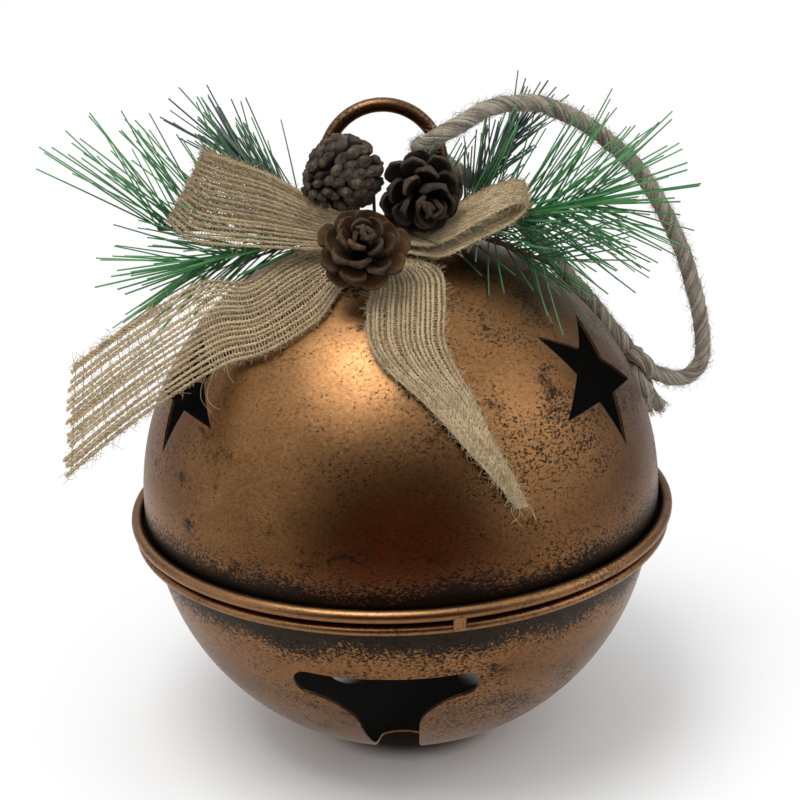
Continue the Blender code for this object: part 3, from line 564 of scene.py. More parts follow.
def starOutline():
    corners = [(cut.starInner if k % 2 else cut.starTip, radians(36 * k - 90)) for k in range(10)]
    return [(radius * cos(a), radius * sin(a)) for radius, a in corners]


def fanOutline():
    top, half = cut.fanTop, cut.fanTopHalf
    waist = top - cut.waistDrop
    right = [(half * 0.25, top - cut.crown * 0.35), (half / 2, top - cut.crown)]
    right += arcPoints(half, top - cut.fanEndDrop, cut.fanEndHalf - half, 80, -60, 14)
    u, v = right[-1]
    for i in range(1, 19):  # a quarter of an ellipse down to the waist
        a = i / 18.0 * pi / 2
        right.append((u + (cut.waistHalf - u) * sin(a), v + (waist - v) * (1 - cos(a))))
    right.append((cut.neckHalf - cut.crown, waist - cut.tail))
    return [(0.0, top)] + right + [(-u, v) for u, v in reversed(right)]


def makeUpperShell():
    corner = domeRadius + shell.cornerRadius, jointPlane + wall + shell.cornerLift
    profile = arcPoints(0.0, domeCentre, domeRadius, 90, 0, shell.arcSteps)
    profile.append((domeRadius, jointPlane + wall + shell.skirtEnd))
    profile += arcPoints(*corner, shell.cornerRadius, 180, 250, 4)
    profile += arcPoints(rimRadius - shell.beadRadius, rimPlane, shell.beadRadius, 205, -90, 22)
    profile += [(domeRadius + shell.flangeFlat, jointPlane), (domeRadius - wall, jointPlane)]
    profile += arcPoints(0.0, domeCentre, domeRadius - wall, 0, 90, shell.arcSteps)
    tools = []
    for azimuth in allRound(cut.starAzimuth, cut.starCount):
        place = tangentPlace(azimuth, cut.starElevation, domeCentre, domeRadius)
        tools.append(punch(starOutline(), cut.starDepth, place))
    return cutShell("upperShell", profile, tools, "upper_shell")


def makeLowerShell():
    top = jointPlane - gap
    inner = bowlRadius - wall
    footIn = degrees(asin((wall - rimPlane) / inner))
    rimIn = degrees(asin((top - rimPlane) / inner))
    footOut = degrees(acos(shell.footRadius / bowlRadius))
    rimOut = degrees(asin((top - wall - rimPlane) / bowlRadius))
    profile = [(0.0, wall)] + arcPoints(0.0, rimPlane, inner, footIn, rimIn, shell.arcSteps)
    profile.append((domeRadius + shell.flangeFlat, top))
    lip = rimRadius - shell.lipInset - shell.lipRadius
    profile += arcPoints(lip, lipMiddle, shell.lipRadius, 90, -110, 14)
    profile += arcPoints(0.0, rimPlane, bowlRadius, rimOut, -footOut, shell.arcSteps) + [(0.0, 0.0)]
    half = cut.neckHalf
    reach = bowlRadius * cos(radians(cut.neckStart))
    neck = [(u, -v) for u, v in arcPoints(0.0, cut.hubRadius + half, half, 0, -180, 16)]
    neck = [(half, -reach)] + neck + [(-half, -reach)]
    tools = []
    for azimuth in allRound(cut.fanAzimuth, cut.fanCount):
        place = tangentPlace(azimuth, cut.fanElevation, rimPlane, bowlRadius)
        tools.append(punch(fanOutline(), cut.fanDepth, place))
        tools.append(punch(neck, rimPlane, Matrix.Rotation(radians(azimuth), 4, "Z")))
    return cutShell("lowerShell", profile, tools, "lower_shell")


upperShell = makeUpperShell()
makeLowerShell()
tacks = {
    "count": 3, "azimuth": 9.7, "width": 0.0053, "round": 0.0005, "depth": 0.0045, "proud": 0.0001,
    "drop": 0.0011, "topInset": 0.0002, "middleInset": 0.0008,
}


def makeTacks():  # bridges of solder from the bead to the lip, flush with both
    tack = SimpleNamespace(**tacks)
    face = rimRadius + tack.proud
    back = rimRadius - tack.depth
    top = rimPlane - tack.drop
    profile = [
        (back, top), (face - tack.topInset, top), (face - tack.middleInset, jointPlane),
        (face - shell.lipInset, lipMiddle), (back, lipMiddle),
    ]
    half = degrees(tack.width / 2 / rimRadius)
    soft = degrees(tack.round / rimRadius)
    turns = ((-half, tack.round), (soft - half, 0.0), (half - soft, 0.0), (half, tack.round))
    for index, azimuth in enumerate(allRound(tack.azimuth, tack.count), start=1):
        rows = []
        for turn, sink in turns:
            out = heading(azimuth + turn, 0.0)
            rows.append([out * (r - sink) + vec(0, 0, z) for r, z in profile])
        made = addObject(f"rimTack{index}", rowsMesh("rimTack", rows), rubbedCopper)
        finishPiece(made, "aged_copper", f"rim_tack_{index}")


makeTacks()
print("shells turned and cut")

# hanger loop and its welds
hanger = {
    "rod": 0.0062, "halfWidth": 0.0254, "height": 0.0552, "shift": -0.0025, "footLift": 0.0004,
    "weldWidth": 0.0022, "weldHeight": 0.0024, "weldSteps": 40,
    "weldSection": ((0.0, 1.0), (0.45, 0.85), (0.85, 0.42), (1.0, 0.0), (0.0, 0.0)),
}
arch = SimpleNamespace(**hanger)


def makeHanger():
    spread = [arch.shift - arch.halfWidth, arch.shift + arch.halfWidth]
    feet = [vec(x, 0.0, domeHeight(x) + arch.footLift) for x in spread]
    centreZ = apex + arch.height - arch.halfWidth
    left, right = [vec(foot.x, 0, centreZ) for foot in feet]
    line = [feet[0].lerp(left, i / 10) for i in range(10)]
    line += [vec(x, 0, z) for x, z in arcPoints(arch.shift, centreZ, arch.halfWidth, 180, 0, 64)]
    line += [right.lerp(feet[1], i / 10) for i in range(1, 11)]
    rodPiece("hangerLoop", line, arch.rod, loopCopper, 28, "aged_copper", "hanger_loop")
    chance = random.Random(7)
    welds = []
    for foot in feet:  # a lumpy ring of weld round each foot
        lumps = [chance.uniform(0.75, 1.15) for k in range(arch.weldSteps)]
        rows = []
        for k in range(arch.weldSteps):
            a = 2 * pi * k / arch.weldSteps
            lump = (lumps[k] + lumps[k - 1] + lumps[(k + 1) % arch.weldSteps]) / 3
            rows.append([])
            for u, v in arch.weldSection:
                radius = arch.rod / 2 + gap + arch.weldWidth * lump * u
                x, y = foot.x + radius * cos(a), radius * sin(a)
                rows[-1].append((x, y, domeHeight(x, y) + gap + arch.weldHeight * lump * v))
        welds.append(rowsMesh("weld", rows, caps=False, ring=True))
    mesh = joined("loopWelds", welds)
    mesh.shade_smooth()
    finishPiece(addObject("loopWelds", mesh, loopCopper), "aged_copper", "loop_weld_left", "loop_weld_right")


makeHanger()

# clapper: a staple under the crown, and a rod with its eye and ball that swing on it
clapper = {
    "stapleWire": 0.0030, "stapleHalf": 0.0090, "stapleDrop": 0.0140, "rod": 0.0040, "eye": 0.0050,
    "ball": 0.0150, "floorGap": 0.0240, "socket": 0.0120, "seam": 1.004,
}


def makeClapper():
    c = SimpleNamespace(**clapper)
    roof = apex - wall - gap
    bar = roof - c.stapleDrop
    foot = roof - apex + domeHeight(c.stapleHalf)
    line = [vec(x, 0, z) for x, z in arcPoints(0.0, bar + c.stapleHalf, c.stapleHalf, 180, 360, 32)]
    line = [vec(-c.stapleHalf, 0, foot)] + line + [vec(c.stapleHalf, 0, foot)]
    rodPiece("clapperStaple", line, c.stapleWire, darkIron, 16, "dark_steel", "clapper_staple")
    eyeZ = bar + c.stapleWire / 2 + gap + c.rod / 2 - c.eye
    ballZ = c.floorGap + c.ball
    socketZ = ballZ + c.ball - c.socket
    # the rod's end is bent round into the eye
    line = [vec(0, y, eyeZ - z) for z, y in arcPoints(0.0, 0.0, c.eye, 170, -180, 44)[3:]]
    neck = vec(0, 0, eyeZ - c.eye - c.rod)
    line += [neck.lerp(vec(0, 0, socketZ + gap), k / 12) for k in range(13)]
    rodPiece("clapperRod", line, c.rod, darkIron, 16, "dark_steel", "clapper_rod", body="clapper")
    hole = c.rod / 2 + gap
    start = degrees(acos(hole / c.ball))
    profile = [(0.0, socketZ), (hole, socketZ), (hole, ballZ + c.ball * sin(radians(start)))]
    profile += arcPoints(0.0, ballZ, c.ball, start, 3, 16) + [(c.ball * c.seam, ballZ)]
    profile += arcPoints(0.0, ballZ, c.ball, -3, -90, 16)
    mesh = lathe("clapperBall", profile, 48)
    mesh.shade_smooth()
    mesh.set_sharp_from_angle(angle=radians(50))
    finishPiece(addObject("clapperBall", mesh, darkIron), "dark_steel", "clapper_ball", body="clapper")


makeClapper()
print("hanger and clapper made")

# jute rope: twisted yarns from the knot up the back, through the loop and round to the knot
rope = {
    "width": 0.0080, "yarns": 21, "yarnOut": 0.0032, "yarnRadius": 0.00078, "turns": 16.0, "steps": 300,
    "hairs": 3400, "hairLength": (0.002, 0.007),
    "hairRadii": [0.00009, 0.00009, 0.00009, 0.000081, 0.000072, 0.000045],
    "frays": 60, "frayRadius": 0.00012, "fraySpread": 0.0026, "frayLength": (0.003, 0.0062),
}
ropeRoute = [
    onDome(103.8, 26.6, 5.8), onDome(105.5, 30.0, 4.7), onDome(107.3, 36.0, 4.7), onDome(108.5, 43.0, 4.7),
    onDome(109.0, 50.0, 6.5),
] + [byCrown(*place) for place in (
    (56, 20, 2), (33, 16, 21), (18, 9, 33), (13.5, 0, 36.7), (17.5, -8.8, 39.5), (27.5, -7.5, 44.5),
    (46, 6, 51.5), (67, 18, 51), (91, 27, 39.5), (113.5, 31, 20), (129, 33, -3.5), (140, 34, -28),
    (147.5, 34, -55), (149, 33, -75), (140, 32, -85), (125.8, 31, -81.2),
)]
knot = {
    "ring": 0.0072, "swing": 0.0036, "tube": 0.0030, "strand": 0.0074, "azimuth": 104.5, "elevation": 19.0,
    "tail": 0.0072, "steps": 120, "tailSteps": 40, "tailHairs": 40, "tailHairLength": (0.002, 0.005),
    "ends": (((120.3, 29.0, -92.5), (121.6, 29.0, -100.0)), ((122.8, 31.5, -91.2), (129.3, 33.0, -99.5))),
}
knotReach = domeRadius + knot["swing"] + knot["tube"] + gap * 2
knotPlace = tangentPlace(knot["azimuth"], knot["elevation"], domeCentre, knotReach)
knotMiddle = knotPlace.translation
# both ends of the rope run into the knot
ropeEnds = ropeRoute[0].lerp(knotMiddle, 0.55), ropeRoute[-1].lerp(knotMiddle, 0.65)
ropeLine = smoothLine([ropeEnds[0]] + ropeRoute + [ropeEnds[1]], rope["steps"] + 1)


def twistedYarns(points, turns, chance, size=1.0):
    frames = carriedFrames(points)
    out = rope["yarnOut"] * size
    lines = [(points, out * 0.86, 0.15)]  # a dark core: painted shade in the gaps between the yarns
    for k in range(rope["yarns"]):
        share = k / rope["yarns"]
        ply = 1.0 - 0.13 * abs(cos(pi * share)) ** 6  # a shallow groove that winds with the twist
        sway = chance.uniform(0, 6.28)
        line, radii = [], []
        for i, p in enumerate(points):
            t = i / (len(points) - 1)
            a = 2 * pi * (share + turns * t) + 0.10 * sin(23 * t + sway)
            away = frames[i][1] * cos(a) + frames[i][2] * sin(a)
            line.append(p + away * out * ply * (0.97 + 0.06 * sin(31 * t + sway)))
            radii.append(rope["yarnRadius"] * size * (0.95 + 0.15 * sin(47 * t + sway * 2)))
        lines.append((line, radii, chance.uniform(0.0, 1.0)))
    return lines


def hairLines(points, width, count, chance, reach):
    frames = carriedFrames(points)
    lines = []
    for n in range(count):
        i = chance.randrange(1, len(points) - 1)
        ahead, side, up = frames[i]
        a = chance.uniform(0, 2 * pi)
        out = side * cos(a) + up * sin(a)
        across = ahead.cross(out)
        start = points[i] + out * width * 0.40
        length = chance.uniform(*reach)
        lean = chance.choice((-1, 1)) * chance.uniform(0.8, 2.2)
        curl = chance.uniform(-1.2, 1.2)
        line = []
        for s in (0.0, 0.2, 0.4, 0.6, 0.8, 1.0):
            rise = 0.55 * s + 0.3 * s * s * chance.uniform(-1, 1)
            step = ahead * lean * s + out * rise + across * curl * s * s
            line.append(start + step.normalized() * length * s)
        lines.append((line, rope["hairRadii"], chance.uniform(0.3, 1.0)))
    return lines


def makeRope():
    chance = random.Random(11)
    body = growTubes("hangingRope", twistedYarns(ropeLine, rope["turns"], chance), juteFibre, 6)
    hairs = hairLines(ropeLine, rope["width"], rope["hairs"], chance, rope["hairLength"])
    hairs = growTubes("ropeHairs", hairs, juteFibre, 3)
    # the overhand knot: the same rope laid round a trefoil that leans on the dome, with two cut ends
    ring = []
    for i in range(knot["steps"]):
        a = 2 * pi * i / knot["steps"]
        radius = knot["ring"] + knot["swing"] * cos(3 * a)
        ring.append(knotPlace @ vec(radius * cos(2 * a), radius * sin(2 * a), knot["swing"] * sin(3 * a)))
    lines = twistedYarns(ring + ring[:1], 3.0, chance, knot["strand"] / rope["width"])
    fray = []
    for bend, end in knot["ends"]:
        tail = smoothLine([knotMiddle, byCrown(*bend), byCrown(*end)], knot["tailSteps"])
        lines += twistedYarns(tail, 0.5, chance, knot["tail"] / rope["width"])
        ahead = (tail[-1] - tail[-3]).normalized()
        for n in range(rope["frays"]):  # loose fibres at the cut
            side = vec(*[chance.uniform(-1, 1) for axis in range(3)])
            side = (side - ahead * side.dot(ahead)) * rope["fraySpread"]
            start = tail[-4] + side
            way = ahead + side * chance.uniform(0, 160)
            stop = start + way.normalized() * chance.uniform(*rope["frayLength"])
            fibre = [start, start.lerp(stop, 0.5) + side * 0.1, stop]
            fray.append((fibre, rope["frayRadius"], chance.uniform(0.2, 1.0)))
        fray += hairLines(tail, knot["tail"], knot["tailHairs"], chance, knot["tailHairLength"])
    tied = finishPiece(growTubes("ropeKnot", lines, juteFibre, 6), "jute", "rope_knot")
    loose = finishPiece(growTubes("knotFray", fray, juteFibre, 3), "jute")
    finishPiece(hairs, "jute")
    finishPiece(body, "jute", "hanging_rope")


makeRope()
print("rope twisted:", round(lineLength(ropeLine), 3), "m")

# burlap ribbon: real yarns along and across each strip
burlap = {
    "width": 0.038, "warps": 16, "strand": 0.00045, "strandOut": 0.00041, "twist": 0.0042, "weft": 0.00019,
    "pitch": 0.00125, "wave": 0.00020, "bunch": 0.30, "ragged": 0.014, "openWeft": 4, "steps": 600,
    "hairLength": (0.0014, 0.0046), "hairRadii": [0.00010, 0.00010, 0.00008, 0.00005],
    "threadRadius": 0.00009,
}
yarn = SimpleNamespace(**burlap)
# loose threads: places along and across the tails, the ways they go, and their lengths
looseEnds = [(0.985, v, (-0.5, 0.9), (-0.55, -0.55), (0.006, 0.013)) for v in (0.1, 0.3, 0.5, 0.7, 0.9)]
looseEnds += [(u, 0.98, (0.0, 0.5), (-0.15, -0.85), (0.012, 0.024)) for u in (0.165, 0.175, 0.19)]


def edgePairs(place, *rows):  # pairs of edge points of a strip
    return [(place(*a), place(*b)) for a, b in rows]


leftLoop = edgePairs(
    byCrown, ((-9, -33.5, 10), (-9, -33.5, 1)), ((-28, -34.2, 19.5), (-27, -37.5, 0.5)),
    ((-50, -27.5, 32), (-54.5, -35, 1.5)), ((-68, -18.5, 37.5), (-84, -22.5, 2.5)),
    ((-76.5, -12.5, 39.3), (-94, -17, 9)), ((-78.5, -8.5, 39.5), (-96, -12.5, 10)),
    ((-75.5, -5, 38.5), (-93, -8.5, 9.5)), ((-64, -6.5, 34.5), (-80, -8.5, 8)),
    ((-48, -13, 28), (-52, -15, 6)), ((-28, -26, 18), (-27, -28, 1.5)), ((-9, -30, 9.5), (-9, -30, 1)),
)
rightLoop = edgePairs(
    byCrown, ((-5, -27.5, 4.2), (-5, -36, 3.6)), ((13, -18.5, 3.4), (12, -40, 1.6)),
    ((23, -15.5, 9.6), (22, -43, 3.5)), ((38, -6.5, 16.5), (37, -40.5, 11)), ((52, -1, 20.5), (50, -35, 16)),
    ((58.5, 1, 19.5), (56, -31, 16)), ((59, 1, 16.5), (56.5, -31, 13)), ((53, -1, 14), (50, -35, 8.5)),
    ((39, -8, 12), (37, -41, 3.5)), ((23, -17, 6.8), (22, -44, -2.5)), ((13, -20, 0.4), (12, -41, -2.2)),
    ((-5, -27.5, 1.2), (-5, -36.5, 0.6)),
)
tails = edgePairs(
    byCrown, ((-129.5, -80, -33), (-137.5, -86, -82)), ((-114.5, -72, -23.5), (-113, -78, -64.5)),
    ((-98.4, -62, -15), (-93.3, -68, -53.2)), ((-78.8, -40, -9.2), (-69.5, -66, -40)),
) + edgePairs(
    onDome, ((-63, 57, 8.5), (-36.5, 44.6, 3)), ((-62, 66, 7), (-25, 53, 2)),
    ((-54, 74, 4), (-21.5, 62, 1.8)), ((-17, 78, 1.5), (-11.5, 70, 1)), ((14, 72, 1.6), (-8.5, 66, 1.6)),
    ((24, 66, 2.2), (-9.3, 60.5, 2.2)), ((18.7, 57.5, 3), (-9.4, 55, 3)), ((14.2, 48.3, 3), (-7.5, 48.2, 3)),
    ((15.3, 41.9, 3), (-2.7, 43, 3)), ((17.5, 36.2, 3), (6.1, 35.9, 3)), ((19.5, 28.4, 3), (13.4, 27.5, 3)),
    ((22.2, 21.2, 2.8), (18.5, 20.9, 2.8)), ((24.4, 15.1, 2.4), (22.4, 15, 2.4)),
)


def onStrip(stations, u, v):  # u along the strip and v across it, from 0 to 1
    last = len(stations) - 1
    at = min(max(u, 0.0), 1.0) * last
    i = min(int(at), last - 1)
    rows = [stations[min(max(k, 0), last)] for k in range(i - 1, i + 3)]
    a, b = [blendFour([row[edge] for row in rows], at - i) for edge in (0, 1)]
    return a.lerp(b, v)


def stripNormal(stations, u, v):
    along = onStrip(stations, u + 0.004, v) - onStrip(stations, u - 0.004, v)
    across = onStrip(stations, u, min(v + 0.05, 1.0)) - onStrip(stations, u, max(v - 0.05, 0.0))
    n = along.cross(across)
    return n.normalized() if n.length > 1e-12 else vec(0, 0, 1)


def stripShares(stations):  # shares along the strip at even steps of its own length
    fine = [onStrip(stations, i / yarn.steps, 0.5) for i in range(yarn.steps + 1)]
    length = lineLength(fine)
    return [(j + s) / yarn.steps for j, s in evenPlaces(fine, int(length / yarn.pitch) + 1)], length


def weave(name, stations, seed, openFrom, shade):
    # shade shifts the tone of every yarn in the strip: painted light where it is above zero, painted shade
    # below
    chance = random.Random(seed)
    shares, length = stripShares(stations)
    lines = []
    for k in range(yarn.warps):  # every warp is two strands twisted together
        drift = chance.uniform(0, 6.28)
        stray = yarn.bunch * chance.uniform(-1, 1)
        ragged = yarn.ragged * chance.random() if openFrom else 0.0
        tone = 0.35 + 0.5 * chance.random() + shade
        one, other, radii = [], [], []
        for n, u in enumerate(shares):
            if u < ragged:
                continue
            loose = max(0.0, 1.0 - u / openFrom) if openFrom else 0.0
            v = (k + 0.5 + stray * sqrt(loose) + 0.16 * sin(9 * u + drift)) / yarn.warps
            normal = stripNormal(stations, u, v)
            across = (onStrip(stations, u, 1.0) - onStrip(stations, u, 0.0)).normalized()
            middle = onStrip(stations, u, v) + normal * yarn.wave * (1 if (n + k) % 2 else -1)
            turn = 2 * pi * n * yarn.pitch / yarn.twist + drift
            arm = (normal * sin(turn) + across * cos(turn)) * yarn.strandOut * (1.0 + 0.4 * loose)
            one.append(middle + arm)
            other.append(middle - arm)
            swell = 1.0 + 0.38 * loose + 0.14 * sin(37 * u + drift * 3) + chance.uniform(-0.10, 0.10)
            radii.append(yarn.strand * swell)
        lines += [(one, radii, tone), (other, radii, tone + 0.18)]
    for n, u in enumerate(shares[1:-1], start=1):
        if openFrom and (u < yarn.ragged or u < openFrom and n % yarn.openWeft):
            continue
        line = []
        drift = chance.uniform(0, 6.28)
        for k in range(yarn.warps + 2):
            v = min(max(k - 0.5, 0.4), yarn.warps - 0.4) / yarn.warps
            shift = 0.10 * sin(2.2 * v * 6.28 + drift) / len(shares)
            lift = yarn.wave * 1.5 * (-1 if (n + k) % 2 else 1)
            line.append(onStrip(stations, u + shift, v) + stripNormal(stations, u, v) * lift)
        lines.append((line, yarn.weft * chance.uniform(0.8, 1.2), chance.uniform(0.5, 1.0) + shade))
    return growTubes(name, lines, burlapYarn, 5), length


def fuzzLines(stations, count, chance):  # short fibres that stand off the yarns
    lines = []
    for n in range(count):
        u = chance.uniform(0.01, 0.99)
        v = (int(chance.random() * yarn.warps) + chance.uniform(0.2, 0.8)) / yarn.warps
        if n % 6 == 0:  # more of them along both edges
            v = chance.choice((0.02, 0.98))
        normal = stripNormal(stations, u, v) * chance.choice((-1, 1))
        along = (onStrip(stations, u + 0.004, v) - onStrip(stations, u - 0.004, v)).normalized()
        across = normal.cross(along)
        way = along * chance.gauss(0, 1.3) + across * chance.gauss(0, 0.7)
        way += normal * abs(chance.gauss(0, 0.30))
        bend = across * chance.gauss(0, 0.5) + along * chance.gauss(0, 0.5)
        reach = chance.uniform(*yarn.hairLength)
        start = onStrip(stations, u, v) + normal * 0.0005
        line = [start + (way.normalized() * t + bend * t * t * 0.5) * reach for t in (0.0, 0.35, 0.7, 1.0)]
        lines.append((line, yarn.hairRadii, chance.uniform(0.4, 1.0)))
    return lines


def threadLines(starts, chance):  # long loose threads: a start, the way it goes and how far
    lines = []
    for start, way, reach in starts:
        side = way.orthogonal().normalized() * chance.choice((-1, 1))
        curl = chance.uniform(0.15, 0.40)
        line = [start + (way * (i / 12) + side * curl * sin(i / 12 * 3.6)) * reach for i in range(13)]
        lines.append((line, yarn.threadRadius, chance.uniform(0.7, 1.2)))
    return lines


def makeBow():
    # the last value is painted shade on the left loop and painted light on the right loop and the tails
    for name, stations, seed, node, openFrom, hairs, shade in (
        ("bowLoopLeft", leftLoop, 21, "bow_loop_left", None, 3600, -0.22),
        ("bowLoopRight", rightLoop, 22, "bow_loop_right", None, 3200, 0.12),
        ("bowTails", tails, 23, "bow_tails", 0.17, 6500, 0.20),
    ):
        strip, length = weave(name, stations, seed, openFrom, shade)
        finishPiece(strip, "burlap", node)
        chance = random.Random(seed + 100)
        loose = fuzzLines(stations, hairs, chance)
        if openFrom:
            starts = [
                (onStrip(stations, u, v), vec(chance.uniform(*sway), *down), chance.uniform(*far))
                for u, v, sway, down, far in looseEnds
            ]
            loose += threadLines(starts, chance)
        fuzz = finishPiece(growTubes(name + "Fuzz", loose, burlapYarn, 3), "burlap")
        print(name, round(length, 3), "m long")


makeBow()
print("burlap woven")

# wires round the bow and the stems
wires = {
    "bow": 0.0012, "lash": 0.0012, "pitchGap": 0.0006, "stem": 0.0025, "spacing": 0.0028, "lift": 0.0007,
    "straight": 0.0066, "slant": 30.0, "slantHalf": 0.0083, "pick": 0.0016, "bowAt": (-7, -31.8, 5.05),
    "bowDeep": 0.0083, "bowTall": 0.00605,
}
wire = SimpleNamespace(**wires)


def rootOf(value):  # a square root that keeps the sign
    return copysign(sqrt(abs(value)), value)


def woundLine(centre, halfA, halfB, turns=2):
    step = halfA.cross(halfB).normalized() * (wire.bow + wire.pitchGap)
    line = []
    for i in range(turns * 48 + 1):
        a = 2 * pi * i / 48
        line.append(centre + halfA * rootOf(cos(a)) + halfB * rootOf(sin(a)) + step * (i / 48 - turns / 2))
    return smoothLine(line, turns * 60)


def bundlePlace(row, side):
    y = -(arch.rod / 2 + gap + wire.stem / 2 + wire.spacing) + row * wire.spacing
    return y, wire.stem / 2 + wire.lift + (0.0 if side < 0 else wire.spacing)


def makeWires():
    line = woundLine(byCrown(*wire.bowAt), vec(0, wire.bowDeep, 0), vec(0, 0, wire.bowTall))
    rodPiece("bowWire", line, wire.bow, floristWire, 8, "florist_wire", "bow_wire")
    for side, name, node in ((-1, "stemWireLeft", "stem_wire_left"), (1, "stemWireRight", "stem_wire_right")):
        back = arch.rod / 2
        front = bundlePlace(-1, side)[0] - wire.stem / 2
        halfY = vec(0, (back - front) / 2 + gap * 2 + wire.lash / 2, 0)
        slant = vec(-side * cos(radians(wire.slant)), 0, sin(radians(wire.slant))) * wire.slantHalf
        z = apex + bundlePlace(0, side)[1] + wire.lift
        line = woundLine(vec(arch.shift + side * arch.halfWidth, (back + front) / 2, z), halfY, slant)
        rodPiece(name, line, wire.lash, floristWire, 8, "florist_wire", node)


makeWires()

# pine cones: scales on a spiral, laid by a tree; places in millimetres from the crown
cones = {
    "pineConeLeft": {
        "node": "pine_cone_left", "middle": (-20.4, -26.5, 29.4), "axis": (-0.77, -0.60, -0.20),
        "radius": 16.8, "length": 39.0, "scales": 122, "tilts": (138.0, 10.0), "width": 0.150, "seed": 3,
        "shape": "knob", "swell": (0.20, 0.76), "lowEnd": -0.42, "core": 0.58,
        "pick": ((-6.5, -10.0, 33.0), (-7.0, -7.4, 20.0), (-7.0, -7.4, 6.4)),
        "root": (0.005, 0.0032, 0.0022), "back": (0.024, 0.0155, 0.010), "inside": (0.04, 0.03, 0.02),
        "tip": (0.140, 0.102, 0.071), "worn": (0.225, 0.182, 0.142), "rimFrom": 0.15,
    },
    "pineConeRight": {
        "node": "pine_cone_right", "middle": (13.6, -33.6, 20.4), "axis": (0.12, -0.90, -0.20),
        "radius": 18.2, "length": 34.0, "scales": 29, "tilts": (98.0, 6.0), "width": 0.310, "seed": 5,
        "shape": "spoon", "swell": (0.44, 0.56), "lowEnd": -0.26, "core": 0.20,
        "pick": ((10.0, -12.0, 22.0), (8.5, -7.4, 14.0), (8.5, -7.4, 6.4)),
        "root": (0.004, 0.0028, 0.0018), "back": (0.022, 0.0135, 0.0085), "inside": (0.020, 0.0115, 0.0065),
        "tip": (0.105, 0.070, 0.043), "worn": (0.185, 0.138, 0.098), "rimFrom": 0.55,
    },
    "pineConeFront": {
        "node": "pine_cone_front", "middle": (-11.6, -62.0, 6.4), "axis": (0.06, -0.78, 0.60),
        "radius": 18.8, "length": 33.0, "scales": 28, "tilts": (104.0, 6.0), "width": 0.310, "seed": 9,
        "shape": "spoon", "swell": (0.46, 0.54), "lowEnd": -0.22, "core": 0.20,
        "pick": ((-12.2, -42.0, -7.0),),
        "root": (0.004, 0.0024, 0.0012), "back": (0.022, 0.0115, 0.0055), "inside": (0.105, 0.043, 0.010),
        "tip": (0.135, 0.082, 0.044), "worn": (0.215, 0.152, 0.100), "rimFrom": 0.55,
    },
}
# how far along a scale each ring is, and how wide it is there
spoonRings = (
    (0.0, 0.34), (0.34, 0.52), (0.56, 0.80), (0.72, 0.98), (0.84, 0.98), (0.925, 0.80), (0.975, 0.50),
    (1.0, 0.20),
)
knobRings = (
    (0.0, 0.40), (0.50, 0.74), (0.76, 0.98), (0.86, 1.04), (0.92, 0.95), (0.95, 0.72), (0.962, 0.42),
    (0.985, 0.32), (1.0, 0.12),
)


def scaleObject(name, rings):  # rings of (place, along, inner face, rim)
    mesh = rowsMesh(name, [[point[0] for point in ring] for ring in rings])
    along, inner, rim = [[point[i] for ring in rings for point in ring] for i in (1, 2, 3)]
    addMarks(mesh, along=along, innerFace=inner, rim=rim).shade_smooth()
    return addObject(name, mesh)


def spoonScale(name):  # an open scale along +Y, unit long: narrow root, hollow face, thick blunt rim
    rings = []
    for t, half in spoonRings:
        tip = min(max((t - 0.70) / 0.28, 0.0), 1.0)
        rise = 0.34 * t * t
        thick = 0.28 + 0.36 * t - 0.04 * tip
        ring = []
        for f in (-0.97, -0.62, 0.0, 0.62, 0.97):
            dish = 0.30 * (1 - f * f) * (1 - tip * tip) * t
            ring.append(((f * half * 0.94, t, rise + 0.20 * half * f * f - dish), t, 1.0, max(tip, f ** 4)))
        for f in (1.0, 0.60, 0.0, -0.60, -1.0):
            belly = thick * (1.15 - 0.45 * f * f)
            place = f * half, t - 0.02 * tip, rise + 0.20 * half * f * f - belly
            ring.append((place, t, 0.0, max(tip, f ** 4) * 0.8))
        rings.append(ring)
    return scaleObject(name, rings)


def knobScale(name):  # a closed scale along +Y, unit long: a post with an angular head and a small nub on it
    rings = []
    for t, size in knobRings:
        head = min(max((t - 0.84) / 0.11, 0.0), 1.0)
        ring = []
        for k in range(10):
            c, s = cos(2 * pi * k / 10), sin(2 * pi * k / 10)
            x, z = [copysign(abs(part) ** 1.12, part) * size for part in (c, s)]
            ridge = 1.0 - 0.45 * abs(s) * (1.0 - head * 0.4)
            ring.append(((x, t, z * 1.5 - 0.25 * head), t, 0.0, head * ridge))
        rings.append(ring)
    return scaleObject(name, rings)


